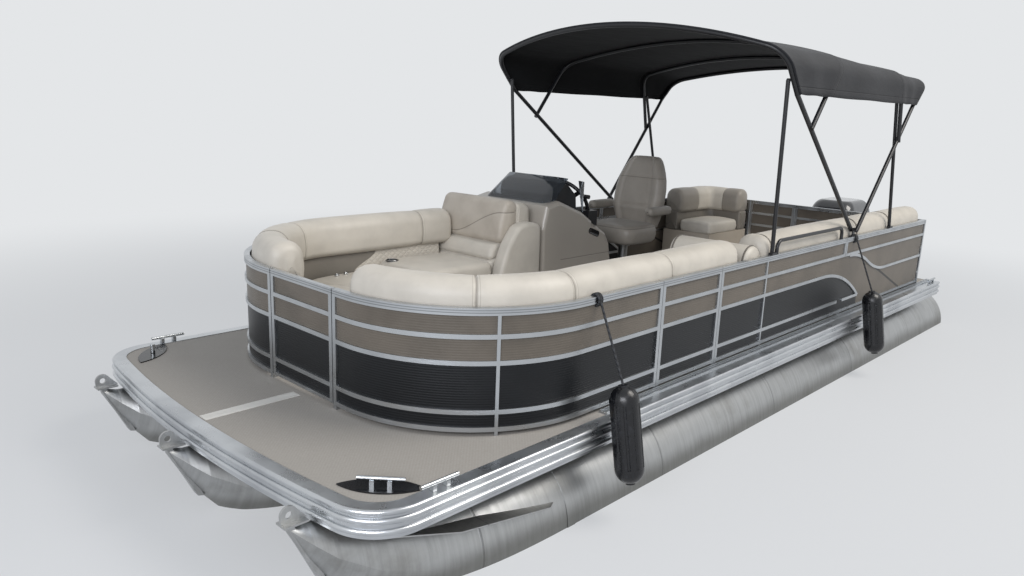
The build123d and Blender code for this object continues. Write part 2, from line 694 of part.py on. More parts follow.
def gate_panels(x_face, inward, y_low, y_high, gaps):
    """Sheet panels inside a gate frame."""
    near = x_face + inward * PANEL_INSET
    x = sorted((near, near + inward * PANEL_THICKNESS))
    y = (y_low + POST, y_high - POST)
    return [box(x, y, (DECK_TOP + low, DECK_TOP + high)) for low, high in gaps]


def hinge(x, y, gate_side, inward):
    """Knuckles of both hinges of a gate: those on the gate, those on the post, and the pins."""
    on_gate = []
    on_post = []
    for height in HINGE_HEIGHTS:
        low = DECK_TOP + height
        half = HINGE_LENGTH / 2
        upper = Pos(x, y, low + half * 1.5 + SEAT) * Cylinder(HINGE_RADIUS, half)
        lower = Pos(x, y, low + half * 0.5) * Cylinder(HINGE_RADIUS, half)
        pin = Pos(x, y, low + half) * Cylinder(HINGE_PIN_RADIUS, 2 * half)
        bore = Pos(x, y, low + half) * Cylinder(HINGE_PIN_RADIUS + PIN_GAP, 4 * half)
        leaf = sorted((y, y + gate_side * 16))
        post_leaf = sorted((y, y - gate_side * 16))
        face = sorted((x - inward * 3, x - inward * HINGE_RADIUS))
        upper += box(face, leaf, (low + half + SEAT, low + 2 * half + SEAT))
        lower += box(face, post_leaf, (low, low + half))
        on_gate.append(upper - bore)
        on_post.append(lower + pin)
    return on_gate, on_post


def bow_gate():
    """Bow gate hinged on its starboard side; the pieces on the gate and on the post."""
    half = BOW_GATE_HALF - SWING / 2
    frame = gate_frame(FENCE_FRONT_X, -1, -half, half)
    x = FENCE_FRONT_X - POST - HINGE_RADIUS
    on_gate, on_post = hinge(x, -BOW_GATE_HALF, 1, -1)
    black, tan = panel_bands()
    dark = gate_panels(FENCE_FRONT_X, -1, -half, half, black)
    light = gate_panels(FENCE_FRONT_X, -1, -half, half, tan)
    for knuckle in on_gate:
        frame += knuckle
    return frame, on_post, dark, light


def stern_gate():
    """Stern gate hinged on its starboard side; the pieces on the gate and on the post."""
    low = STERN_GATE_STARBOARD_Y + SWING / 2
    high = STERN_GATE_PORT_Y - SWING / 2
    frame = gate_frame(FENCE_STERN_X, 1, low, high)
    x = FENCE_STERN_X + POST + HINGE_RADIUS
    on_gate, on_post = hinge(x, STERN_GATE_STARBOARD_Y, 1, 1)
    black, tan = panel_bands()
    panels = gate_panels(FENCE_STERN_X, 1, low, high, black + tan)
    for knuckle in on_gate:
        frame += knuckle
    return frame, on_post, panels


def lounge_region(inset, inner_y, x_low, x_high):
    """Plan of a port lounge between the fence and a straight inner edge."""
    plan = fence_plan(inset)
    middle = ((x_low + x_high) / 2, (inner_y + FENCE_HALF_BEAM + 100) / 2)
    window = Rectangle(x_high - x_low, FENCE_HALF_BEAM + 100 - inner_y)
    return plan & (Pos(*middle) * window)


def bow_region(inset, inner_y, front_depth, x_low):
    """Plan of an L-shaped bow lounge: along the side, round the bend and up to the gate."""
    gate_y = BOW_GATE_HALF + GATE_SEAT_GAP
    front_x = FENCE_FRONT_X - front_depth
    side = lounge_region(inset, inner_y, x_low, FENCE_FRONT_X)
    front = lounge_region(inset, gate_y, front_x, FENCE_FRONT_X)
    return side + front


def slab(plan, low, high):
    """A plan raised between two heights above the deck."""
    return Pos(0, 0, DECK_TOP + low) * extrude(plan, amount=high - low)


def bow_lounge(x_low):
    """Base, seat cushion and back cushion of the port bow lounge, down to x_low."""
    base_inset = TOP_RAIL_DEPTH + CUSHION_GAP
    depth = FENCE_HALF_BEAM - BASE_INNER_Y
    base = slab(bow_region(base_inset, BASE_INNER_Y, depth, x_low), 0, BASE_HEIGHT)
    back_inset = base_inset
    back_plan = bow_region(back_inset, SEAT_INNER_Y, depth, x_low)
    inner_plan = bow_region(back_inset + BACK_THICKNESS, SEAT_INNER_Y - 200, depth + 200, x_low - 10)
    back = slab(back_plan - inner_plan, BASE_HEIGHT + SEAT, BACK_TOP)
    back = fillet(back.faces().sort_by(Axis.Z)[-1].edges(), BACK_ROUNDING)
    seat_plan = bow_region(back_inset + BACK_THICKNESS + SEAT, SEAT_INNER_Y, depth + 35, x_low)
    seat_low = BASE_HEIGHT + SEAT
    seat = slab(seat_plan, seat_low, seat_low + SEAT_THICKNESS)
    return base, seat, back


def helm_outer_y():
    """Outer side of the console, next to the starboard fence."""
    return -(FENCE_HALF_BEAM - TOP_RAIL_DEPTH - CUSHION_GAP)


# Outline of the console seen from port. columns: x, height above the deck
CONSOLE_SIDE = ((495, 0), (510, 600), (470, 770), (330, 800), (60, 700), (-170, 560), (-240, 520),
                (-300, 430), (-330, 300), (-300, 0))

# Outline of the instrument pod on the dash. columns: x, height above the deck
POD_SIDE = ((310, 780), (290, 880), (230, 915), (130, 905), (25, 815), (10, 670), (60, 660))


def from_port(outline, y, width):
    """An outline in x and height above the deck, raised to starboard from y by width."""
    plane = Plane(origin=(0, y, DECK_TOP), x_dir=(1, 0, 0), z_dir=(0, -1, 0))
    return plane * extrude(outline, amount=width)


def console():
    """Helm console: high at the bow, with a dash that slopes down towards the helmsman."""
    width = CONSOLE_INNER_Y - helm_outer_y()
    body = from_port(make_face(Polyline(*CONSOLE_SIDE, close=True)), CONSOLE_INNER_Y, width)
    inner_face = body.faces().sort_by(Axis.Y)[-1]
    rim = [edge for edge in inner_face.edges() if edge.center().Z > DECK_TOP + 50]
    body = fillet(rim + [body.edges().filter_by(Axis.Y).group_by(Axis.Z)[-1][0]], CONSOLE_ROUNDING)
    stern_x = min(x for x, _ in CONSOLE_SIDE) - 50
    front_x = stern_x + 340
    footwell = box((stern_x, front_x), (helm_outer_y() + FOOTWELL_SIDE, CONSOLE_INNER_Y - FOOTWELL_SIDE),
                   (DECK_TOP - 1, DECK_TOP + FOOTWELL_HEIGHT))
    x, height, length, tall, depth = POCKET
    slot = Pos(x, height) * SlotOverall(length, tall)
    return body - footwell - from_port(slot, CONSOLE_INNER_Y + 1, depth + 1)


# Outline that the windscreen is cut to, seen from port. columns: x, height above the deck
SCREEN_SIDE = ((500, 800), (420, 1010), (300, 1025), (60, 950), (-10, 830), (60, 700),
               (330, 800 + SEAT), (470, 770 + SEAT), (520, 760))


def windscreen():
    """Low wrap-round screen on the console's forward top edge."""
    outer_y = helm_outer_y() + SCREEN_INSET
    inner_y = CONSOLE_INNER_Y - SCREEN_INSET
    low, high = SCREEN_BAND
    plan = RectangleRounded(SCREEN_LENGTH, inner_y - outer_y, SCREEN_CORNER)
    ring = extrude(plan - offset(plan, -SCREEN_THICKNESS), amount=high - low)
    screen = Pos(SCREEN_MIDDLE_X, (inner_y + outer_y) / 2, DECK_TOP + low) * ring
    keep = from_port(make_face(Polyline(*SCREEN_SIDE, close=True)), 0, BEAM / 2)
    return screen & keep - console()


def steering_plane():
    """Plane of the steering wheel, its z axis along the column towards the helmsman."""
    lean = math.radians(WHEEL_LEAN)
    return Plane(origin=WHEEL_CENTRE, x_dir=(0, 1, 0), z_dir=(-math.cos(lean), 0, math.sin(lean)))


def steering_wheel():
    """Rim, three spokes, hub and the short shaft that turns in the column."""
    wheel = Torus(WHEEL_RADIUS, WHEEL_TUBE_RADIUS) + Cylinder(WHEEL_HUB_RADIUS, 2 * HUB_HALF)
    for angle in (90, 210, 330):
        spoke = Pos(WHEEL_RADIUS / 2, 0, 0) * Box(WHEEL_RADIUS - 8, 34, 9)
        wheel += Rot(0, 0, angle) * spoke
    wheel += Pos(0, 0, -SHAFT_LENGTH / 2) * Cylinder(WHEEL_SHAFT_RADIUS, SHAFT_LENGTH)
    return steering_plane() * wheel


def steering_column():
    """Instrument pod on the dash, with a fixed collar that is bored for the wheel's shaft."""
    collar_z = HUB_HALF + COLLAR_GAP + COLLAR_LENGTH / 2
    collar = steering_plane() * Pos(0, 0, -collar_z) * Cylinder(COLLAR_RADIUS, COLLAR_LENGTH)
    outline = fillet(make_face(Polyline(*POD_SIDE, close=True)).vertices(), 12)
    width = CONSOLE_INNER_Y - helm_outer_y() - 2 * POD_INSET
    shape = from_port(outline, CONSOLE_INNER_Y - POD_INSET, width) + collar - console()
    bore = Pos(0, 0, -SHAFT_LENGTH) * Cylinder(WHEEL_SHAFT_RADIUS + PIN_GAP, 2 * SHAFT_LENGTH + 2)
    bore = steering_plane() * bore
    return (shape - bore).solids().sort_by(SortBy.VOLUME)[-1]


def throttle():
    """Control box and lever on the console beside the wheel."""
    half = THROTTLE_WIDTH / 2
    y = CONSOLE_INNER_Y - THROTTLE_INSET
    top = DECK_TOP + THROTTLE_TOP
    grip_z = top + LEVER_RISE
    body = box(THROTTLE_X, (y - half, y + half), (DECK_TOP + THROTTLE_BOTTOM, top))
    lever = rod((sum(THROTTLE_X) / 2, y, top - 10), (LEVER_X, y, grip_z), LEVER_RADIUS)
    grip = rod((LEVER_X, y - half, grip_z), (LEVER_X, y + half, grip_z), GRIP_RADIUS)
    return (body + lever + grip) - console()


def chair_pedestal():
    """Round foot and post; the post's top is the pin that the chair turns on."""
    foot = Cylinder(PEDESTAL_BASE_RADIUS, 12)
    post_height = CHAIR_SEAT_BOTTOM - SWIVEL_HEIGHT
    shape = Pos(0, 0, 6) * foot + Pos(0, 0, post_height / 2) * Cylinder(PEDESTAL_RADIUS, post_height)
    shape += Pos(0, 0, post_height + SWIVEL_PIN_LENGTH / 2) * Cylinder(SWIVEL_PIN_RADIUS, SWIVEL_PIN_LENGTH)
    return Pos(CHAIR_X, CHAIR_Y, DECK_TOP) * shape


# Sections of the chair's back, level, from the bottom up.
# columns: height above the deck, x from the pedestal, depth, width, corner radius
CHAIR_BACK_ROWS = (
    (462.0, -185.0, 110.0, 400.0, 45.0),
    (620.0, -178.0, 125.0, 500.0, 55.0),
    (800.0, -205.0, 120.0, 505.0, 52.0),
    (940.0, -235.0, 108.0, 430.0, 48.0),
    (1040.0, -258.0, 88.0, 330.0, 38.0),
    (CHAIR_BACK_TOP, -266.0, 50.0, 260.0, 20.0),
)

# Sections of the chair's seat cushion. columns: height above its underside, length, width, corner radius
CHAIR_SEAT_ROWS = ((0.0, 430.0, 460.0, 60.0), (70.0, 480.0, 512.0, 75.0), (160.0, 425.0, 450.0, 60.0))


def chair():
    """Swivel bracket, seat and back of the helm chair."""
    post_top = CHAIR_SEAT_BOTTOM - SWIVEL_HEIGHT
    plate = (CHAIR_SEAT_BOTTOM, CHAIR_SEAT_BOTTOM + BRACKET_THICKNESS)
    bracket = Pos(0, 0, post_top + (SWIVEL_HEIGHT + SEAT) / 2) * Cylinder(SWIVEL_RADIUS, SWIVEL_HEIGHT - SEAT)
    bore = Cylinder(SWIVEL_PIN_RADIUS + PIN_GAP, SWIVEL_PIN_LENGTH + 2 * SEAT)
    bracket -= Pos(0, 0, post_top + SWIVEL_PIN_LENGTH / 2) * bore
    bracket += box((-160, 160), (-150, 150), plate)
    spine = (-BRACKET_SPINE_WIDTH / 2, BRACKET_SPINE_WIDTH / 2)
    bracket += box((BRACKET_SPINE[0], -120), spine, plate)
    bracket += box(BRACKET_SPINE, spine, (plate[0], CHAIR_SEAT_TOP + BRACKET_SPINE_RISE))
    seat_low = plate[1] + SEAT
    rows = [Pos(40, 0, seat_low + height) * RectangleRounded(length, width, radius)
            for height, length, width, radius in CHAIR_SEAT_ROWS]
    seat = loft(rows)
    rows = [Pos(x, 0, height) * RectangleRounded(depth, width, radius)
            for height, x, depth, width, radius in CHAIR_BACK_ROWS]
    back = loft(rows) - seat
    return bracket - back - seat, seat, back


def chair_arms():
    """Two padded arms fixed to the chair's back."""
    arm = box((-215, 110), (268, 345), (600, 668))
    arm = fillet(arm.edges(), 24)
    arm += box((-205, -165), (235, 275), (612, 652))
    arm -= chair()[2]
    arm = arm.solids().sort_by(SortBy.VOLUME)[-1]
    return [arm, mirrored(arm)]


# Bows of the canopy, from the bow aft.
# columns: x of the lower end, lean forwards in degrees, height of the crown along the bow
CANOPY_BOWS = (
    (-20.0, 42.0, 585.0),
    (-440.0, -38.0, 545.0),
    (-1850.0, 12.0, 390.0),
    (-2150.0, -48.0, 500.0),
)


def bow_plane(row):
    """Plane of one canopy bow: local x to port, local y up along the bow."""
    x, lean, _ = row
    turn = math.radians(lean)
    return Plane(origin=(x, 0, CANOPY_EDGE_Z), x_dir=(0, 1, 0), z_dir=(math.cos(turn), 0, -math.sin(turn)))


def canopy_outline(rise, inset=0.0, foot=0.0):
    """Outline of the canopy in the plane of a bow, moved inwards by inset, with its foot at a height."""
    shoulder_y = CANOPY_SHOULDER * CANOPY_HALF_BEAM
    shoulder_drop = CANOPY_CROWN_DROP * rise
    arch = (shoulder_y ** 2 + shoulder_drop ** 2) / (2 * shoulder_drop)
    half = CANOPY_HALF_BEAM - inset
    corner = CANOPY_CORNER * rise - inset
    arch_z = rise - arch
    arch -= inset
    corner_z = arch_z + math.sqrt((arch - corner) ** 2 - (half - corner) ** 2)
    lean = math.atan2(half - corner, corner_z - arch_z)
    middle = (math.pi / 2 + lean) / 2
    meet = (arch * math.sin(lean), arch_z + arch * math.cos(lean))
    bend = (half - corner + corner * math.sin(middle), corner_z + corner * math.cos(middle))
    return make_face([
        Line((half, foot), (half, corner_z)),
        ThreePointArc((half, corner_z), bend, meet),
        ThreePointArc(meet, (0, arch_z + arch), (-meet[0], meet[1])),
        ThreePointArc((-meet[0], meet[1]), (-bend[0], bend[1]), (-half, corner_z)),
        Line((-half, corner_z), (-half, foot)),
        Line((-half, foot), (half, foot)),
    ])


def canopy_top():
    """Fabric shell of the canopy, open below and at both ends."""
    outer = loft([bow_plane(row) * canopy_outline(row[2]) for row in CANOPY_BOWS], ruled=True)
    rooms = [bow_plane(row) * canopy_outline(row[2], CANOPY_THICKNESS, -5.0) for row in CANOPY_BOWS]
    rooms[0] = Pos(5, 0, 0) * rooms[0]
    rooms[-1] = Pos(-5, 0, 0) * rooms[-1]
    return outer - loft(rooms, ruled=True)


def crown(row):
    """Highest point of the fabric over a bow, as a point over the centreline."""
    x, lean, rise = row
    turn = math.radians(lean)
    return Vector(x + rise * math.sin(turn), 0, CANOPY_EDGE_Z + rise * math.cos(turn))


def bow_reach(index):
    """Distance of a bow's centre line inside the canopy's outline, so that it just carries the fabric."""
    row = CANOPY_BOWS[index]
    turn = math.radians(row[1])
    near = CANOPY_BOWS[index + 1 if row[1] > 0 else index - 1]
    along = (crown(near) - crown(row)).normalized()
    slant = abs(math.sin(turn) * along.Z - math.cos(turn) * along.X)
    return CANOPY_THICKNESS + (CANOPY_TUBE_RADIUS + SEAT) / slant


def bow_tube(index):
    """Tube of one bow under the fabric."""
    row = CANOPY_BOWS[index]
    face = canopy_outline(row[2], bow_reach(index))
    wire = Wire([edge for edge in face.edges() if edge.center().Y > 1])
    path = bow_plane(row) * wire
    plane = Plane(origin=path @ 0, z_dir=path % 0)
    return sweep(plane * Circle(CANOPY_TUBE_RADIUS), path=path)


def bow_end(index, side, down=0.0):
    """Lower end of a bow's centre line, or a point further down along the bow."""
    point = Vector(side * (CANOPY_HALF_BEAM - bow_reach(index)), -down, 0)
    return bow_plane(CANOPY_BOWS[index]).from_local_coords(point)


def pivot_y():
    """Middle of the top rail's width, where the canopy's pivot lugs stand."""
    return FENCE_HALF_BEAM - TOP_RAIL_DEPTH / 2


def leg_y(index):
    """Place of a main bow's leg beside the pivot lug: the first inside it, the last outside."""
    out = PIVOT_LUG / 2 + PIVOT_PLAY + CANOPY_TUBE_RADIUS
    return pivot_y() - out if index == 0 else pivot_y() + out


def main_bow(index):
    """First or last bow, whose legs run down to the pivots."""
    shape = bow_tube(index)
    for side in (1, -1):
        end = bow_end(index, side)
        foot = Vector(PIVOT_X, side * leg_y(index), PIVOT_Z)
        shape += rod(foot, end, CANOPY_TUBE_RADIUS)
        shape += Pos(*end) * Sphere(CANOPY_TUBE_RADIUS + ELBOW_STEP)
        shape += Pos(*foot) * Sphere(CANOPY_TUBE_RADIUS)
    return shape


def second_bow(index, down, mains):
    """Bow between the main ones, its legs seated on the leg of the nearer main bow."""
    shape = bow_tube(index)
    for side in (1, -1):
        end = bow_end(index, side)
        start = Plane(origin=end, z_dir=bow_end(index, side, down) - end)
        shape += start * extrude(Circle(CANOPY_TUBE_RADIUS), amount=down)
    for bow in mains:
        shape -= bow
    return shape.solids().sort_by(SortBy.VOLUME)[-1]


def canopy_struts(bows):
    """Uprights from the top rail to the first bow and to the third, beside their legs."""
    foot_z = DECK_TOP + FENCE_HEIGHT
    solids = []
    for side in (1, -1):
        for foot_x, index, up in ((FRONT_STRUT_X, 0, 110.0), (STERN_STRUT_X, 2, 12.0)):
            foot_y = pivot_y() - 5
            top = bow_end(index, side, -up)
            inside = abs(top.Y) - CANOPY_TUBE_RADIUS - STRUT_RADIUS - 4
            head = Vector(top.X, side * inside, top.Z)
            shape = Pos(foot_x, side * pivot_y(), foot_z + 7.5) * Box(60, 28, 15)
            shape += rod((foot_x, side * foot_y, foot_z + 5), head, STRUT_RADIUS)
            shape += rod(head - Vector(0, side * 8, 0), top, 9)
            for bow in bows:
                shape -= bow
            solids.append(shape.solids().sort_by(SortBy.VOLUME)[-1])
    return solids


def canopy_pivots():
    """Lugs on the top rail with the pins that the main bows fold on."""
    foot = DECK_TOP + FENCE_HEIGHT
    y = pivot_y()
    lug = Pos(PIVOT_X, y, foot + 4) * Box(110, 28, 8)
    lug += box((PIVOT_X - 20, PIVOT_X + 20), (y - PIVOT_LUG / 2, y + PIVOT_LUG / 2), (foot + 8, PIVOT_Z + 18))
    return [lug, mirrored(lug)]


def grab_rail():
    """Dark handrail on the port top rail, bent down at both ends."""
    foot = DECK_TOP + FENCE_HEIGHT
    y = FENCE_HALF_BEAM - TOP_RAIL_DEPTH / 2
    high = foot + GRAB_RAIL_HEIGHT
    front, stern = GRAB_RAIL_X
    path = FilletPolyline((front, y, foot), (front, y, high), (stern, y, high), (stern, y, foot), radius=50)
    plane = Plane(origin=path @ 0, z_dir=path % 0)
    return sweep(plane * Circle(GRAB_RAIL_RADIUS), path=path)


# Cleats on the deck: x, y, turn in degrees
CLEAT_PLACES = ((3010, 1085, -48), (2854, 1250, 0), (2854, -1250, 0), (-3170, 1250, 0), (-3170, -1250, 0))


def cleat(x, y, angle):
    """Cleat with two feet and two horns."""
    shape = Pos(-35, 0, 12) * Box(18, 26, 24) + Pos(35, 0, 12) * Box(18, 26, 24)
    shape += Pos(0, 0, 30) * Rot(0, 90, 0) * Cylinder(9, 190)
    return Pos(x, y, DECK_TOP + RUB_RAIL_CAP + 1.5) * Rot(0, 0, angle) * shape


def cleats():
    """Cleats at the bow and stern corners."""
    return [cleat(x, y, angle) for x, y, angle in CLEAT_PLACES]


def corner_plates():
    """Lens-shaped plate under the port bow cleat and the plate of the bow light to starboard."""
    x, y, angle = CLEAT_PLACES[0]
    reach = 175.0
    width = 60.0
    lens = make_face([
        ThreePointArc((-reach, 0), (0, width), (reach, 0)),
        ThreePointArc((reach, 0), (0, -width), (-reach, 0)),
    ])
    plate = Pos(x, y, DECK_TOP) * Rot(0, 0, angle) * extrude(lens, amount=RUB_RAIL_CAP + 1.5)
    far = Pos(x, -y, DECK_TOP) * Rot(0, 0, -angle) * extrude(lens, amount=RUB_RAIL_CAP + 1.5)
    light = Pos(x, -y, DECK_TOP + RUB_RAIL_CAP + 26.5) * Cylinder(13, 50)
    return [plate, far + light]


def fender_axis():
    """Top of a hanging fender's axis and its lean, from the rail's edge that it rests on."""
    lean = math.radians(FENDER_LEAN)
    reach = FENDER_RADIUS + 2
    contact_y = BEAM / 2 + reach * math.cos(lean)
    contact_z = DECK_TOP + reach * math.sin(lean)
    up = FENDER_RISE
    return contact_y - up * math.sin(lean), contact_z + up * math.cos(lean)


def fender():
    """Inflated fender with flutes, a neck at each end and a cap."""
    body = Cylinder(FENDER_RADIUS, FENDER_LENGTH - 150)
    top = Pos(0, 0, (FENDER_LENGTH - 150) / 2) * Sphere(FENDER_RADIUS)
    low = Pos(0, 0, -(FENDER_LENGTH - 150) / 2) * Sphere(FENDER_RADIUS)
    shape = body + top + low + Cylinder(FENDER_NECK_RADIUS, FENDER_LENGTH)
    flute = Pos(FENDER_RADIUS + FLUTE_RADIUS / 2, 0, 0) * Cylinder(FLUTE_RADIUS, FENDER_LENGTH - 170)
    for index in range(FLUTE_COUNT):
        shape -= Rot(0, 0, index * 360 / FLUTE_COUNT) * flute
    return shape


def fenders_and_lines():
    """Both fenders and the taut lines that they hang on."""
    top_y, top_z = fender_axis()
    hang_y = FENCE_HALF_BEAM + LINE_RADIUS + SEAT
    hang_z = DECK_TOP + FENCE_HEIGHT - TOP_RAIL_HEIGHT / 2
    shapes = []
    lines = []
    for x in FENDERS_X:
        place = Pos(x, top_y, top_z) * Rot(FENDER_LEAN, 0, 0)
        body = place * Pos(0, 0, -FENDER_LENGTH / 2) * fender()
        shapes.append(body)
        lines.append(rod((x, top_y, top_z), (x, hang_y, hang_z), LINE_RADIUS) - body)
    return shapes, lines


def motor_pod():
    """Bracket between the centre tube and the transom that carries the motor."""
    half = TRANSOM_WIDTH / 2
    front = TRANSOM_X + TRANSOM_THICKNESS
    web_top = TRANSOM_TOP + 10
    pod = box((TRANSOM_X, front), (-half, half), (TRANSOM_BOTTOM, TRANSOM_TOP))
    web = make_face(Polyline((front, TRANSOM_BOTTOM), (front, TRANSOM_TOP),
                             (POD_FRONT_X, web_top), (POD_FRONT_X, web_top - POD_DEPTH), close=True))
    for y in (POD_WEB + 10 - half, half - 10):
        plane = Plane(origin=(0, y, 0), x_dir=(1, 0, 0), z_dir=(0, -1, 0))
        pod += plane * extrude(web, amount=POD_WEB)
    room = rod((TRANSOM_X - 100, 0, 0), (POD_FRONT_X + 100, 0, 0), TUBE_RADIUS + SEAT)
    return pod - room


def clamp_bracket():
    """Two clamp plates on the transom with the bore of the tilt pin."""
    face_x = TRANSOM_X - SEAT
    hook_x = TRANSOM_X + TRANSOM_THICKNESS + 10
    hook_z = TRANSOM_TOP + 10
    foot_z = TRANSOM_BOTTOM + 20
    plate = make_face(Polyline(
        (face_x, foot_z), (face_x, hook_z), (hook_x, hook_z), (hook_x, hook_z + 30), (TILT_X, TILT_Z + 38),
        (TILT_X - 40, TILT_Z), (TILT_X - 30, foot_z + 70), (TILT_X - 10, foot_z), close=True))
    plate -= Pos(TILT_X, TILT_Z) * Circle(TILT_PIN_RADIUS + PIN_GAP)
    solids = []
    for side in (1, -1):
        outer_y = side * CLAMP_OFFSET + CLAMP_THICKNESS / 2
        plane = Plane(origin=(0, outer_y, 0), x_dir=(1, 0, 0), z_dir=(0, -1, 0))
        solids.append(plane * extrude(plate, amount=CLAMP_THICKNESS))
    return solids


def swivel_bracket():
    """Tilting bracket with the tilt pin across it and the upright steering bore."""
    axis = Pos(TILT_X, 0, TILT_Z) * Rot(90, 0, 0)
    pin = axis * Cylinder(TILT_PIN_RADIUS, TILT_PIN_LENGTH)
    barrel = axis * Cylinder(TILT_BARREL_RADIUS, TILT_BARREL_LENGTH)
    arm = box((STEER_X, TILT_X), (-60, 60), (TILT_Z - TILT_BARREL_RADIUS, TILT_Z + 30))
    steer = Pos(STEER_X, 0, STEER_MIDDLE_Z)
    shape = barrel + arm + steer * Cylinder(STEER_POST_RADIUS, STEER_POST_LENGTH) + pin
    return shape - steer * Cylinder(STEER_SHAFT_RADIUS + PIN_GAP, 2 * STEER_POST_LENGTH)


# Level sections of the engine cover, from the pan up. columns: z, length, width, corner radius, middle's x
COVER_ROWS = (
    (COVER_BOTTOM, 560.0, 430.0, 85.0, -4015.0),
    (560.0, 640.0, 482.0, 105.0, -4028.0),
    (700.0, 680.0, COVER_WIDTH, 115.0, -4035.0),
    (900.0, 650.0, 484.0, 112.0, -4038.0),
    (1010.0, 580.0, 430.0, 100.0, -4040.0),
    (COVER_TOP, 430.0, 310.0, 75.0, -4035.0),
)


def engine_cover():
    """Moulded cover over the powerhead, with the pan beneath it."""
    rows = [Pos(x, 0, z) * RectangleRounded(length, width, radius)
            for z, length, width, radius, x in COVER_ROWS]
    return loft(rows)


# Level sections of the leg, from the gearcase up. columns: z, length, width, middle's x
LEG_ROWS = (
    (-330.0, 216.0, 56.0, -3872.0),
    (-230.0, 226.0, 62.0, -3880.0),
    (60.0, 230.0, 110.0, -3955.0),
    (435.0, 290.0, 240.0, -3990.0),
)


def gearcase():
    """Gearcase with its rounded nose, the propeller's shaft, the strut above it and the skeg below."""
    stern_x, nose_x_low = GEARCASE_X
    case = rod((stern_x, 0, PROPELLER_Z), (nose_x_low, 0, PROPELLER_Z), GEARCASE_RADIUS)
    case += Pos(nose_x_low, 0, PROPELLER_Z) * Sphere(GEARCASE_RADIUS)
    shaft_x = PROPELLER_X - 20
    half = PROP_SHAFT_LENGTH / 2
    case += rod((shaft_x - half, 0, PROPELLER_Z), (shaft_x + half, 0, PROPELLER_Z), PROP_SHAFT_RADIUS)
    case += box((-3960, -3790), (-STRUT_THICKNESS / 2, STRUT_THICKNESS / 2), (PROPELLER_Z, -290))
    foot_z = PROPELLER_Z - SKEG_DEPTH
    skeg = make_face(Polyline(
        (-3790, PROPELLER_Z), (-3950, PROPELLER_Z), (-3990, foot_z), (-3900, foot_z), close=True))
    plane = Plane(origin=(0, SKEG_THICKNESS / 2, 0), x_dir=(1, 0, 0), z_dir=(0, -1, 0))
    return case + plane * extrude(skeg, amount=SKEG_THICKNESS)


def midsection():
    """Steering shaft with its yokes, leg, splash plate and gearcase."""
    shape = rod((STEER_X, 0, STEER_SHAFT[0]), (STEER_X, 0, STEER_SHAFT[1]), STEER_SHAFT_RADIUS)
    yoke_z = TILT_Z + TILT_BARREL_RADIUS + MOTOR_SWING
    shape += box((STEER_X - 120, STEER_X + 60), (-110, 110), (yoke_z, COVER_BOTTOM - SEAT))
    low = STEER_MIDDLE_Z - STEER_POST_LENGTH / 2 - 10
    shape += box((STEER_X - 110, STEER_X + 40), (-50, 50), (low - YOKE_LOW_THICKNESS, low))
    shape += loft([Pos(x, 0, z) * Ellipse(length / 2, width / 2) for z, length, width, x in LEG_ROWS])
    length, width, thickness = SPLASH_PLATE
    plate = extrude(RectangleRounded(length, width, width / 3), amount=thickness)
    return shape + Pos(-3960, 0, SPLASH_PLATE_Z) * plate + gearcase()


def propeller():
    """Three swept blades on a hub, turning on the gearcase's axis."""
    place = Plane(origin=(PROPELLER_X - PROP_SETBACK, 0, PROPELLER_Z), x_dir=(0, 1, 0), z_dir=(1, 0, 0))
    shape = Cylinder(HUB_RADIUS, HUB_LENGTH)
    blade = extrude(make_face([
        Line((-28, 0), (28, 0)),
        ThreePointArc((28, 0), (88, 95), (20, PROPELLER_RADIUS)),
        ThreePointArc((20, PROPELLER_RADIUS), (-70, 120), (-28, 0)),
    ]), amount=BLADE_THICKNESS)
    blade = Rot(0, BLADE_PITCH, 0) * Pos(0, 0, -BLADE_THICKNESS / 2) * blade
    for index in range(BLADE_COUNT):
        shape += Rot(0, 0, index * 360 / BLADE_COUNT) * blade
    shape -= Cylinder(PROP_SHAFT_RADIUS + PIN_GAP, 2 * HUB_LENGTH)
    return place * shape


NODES = {}


def build_hull():
    """Tubes, tow eyes, underdeck and deck."""
    NODES["tube_port"] = tube(TUBE_OFFSET, 1)
    NODES["tube_center"] = tube(0.0, 0)
    NODES["tube_starboard"] = tube(-TUBE_OFFSET, -1)
    NODES["tow_eyes"] = tow_eyes()
    NODES["risers"] = risers([NODES["tube_port"], NODES["tube_center"], NODES["tube_starboard"]])
    NODES["cross_members"] = cross_members()
    NODES["deck"] = deck()
    NODES["rub_rail"] = rub_rail()
    NODES["side_sills"] = side_sills()
    NODES["cleats"] = group(cleats())
    NODES["corner_plates"] = group(corner_plates())


def build_fence():
    """Fence frames and panels, and both gates."""
    sections = fence_side()
    ends = stern_fence()
    bow_frame, bow_knuckles, bow_black, bow_tan = bow_gate()
    stern_frame, stern_knuckles, stern_panels = stern_gate()
    starboard = [mirrored(section) for section in sections]
    starboard[-1] += bow_knuckles[0]
    for knuckle in bow_knuckles[1:]:
        starboard[-1] += knuckle
    for knuckle in stern_knuckles:
        ends[1] += knuckle
    NODES["fence_port"] = group(sections)
    NODES["fence_starboard"] = group(starboard)
    NODES["fence_stern"] = group(ends)
    black, tan = panel_bands()
    frames = sections + starboard + ends
    NODES["panels_black"] = fence_panels(black, stern_field() & arch_field(), frames)
    NODES["panels_tan"] = fence_panels(tan, stern_field() - arch_field(), frames)
    NODES["bow_gate"] = bow_frame
    NODES["bow_gate_black"] = group(bow_black)
    NODES["bow_gate_tan"] = group(bow_tan)
    NODES["stern_gate"] = stern_frame
    NODES["stern_gate_panels"] = group(stern_panels)


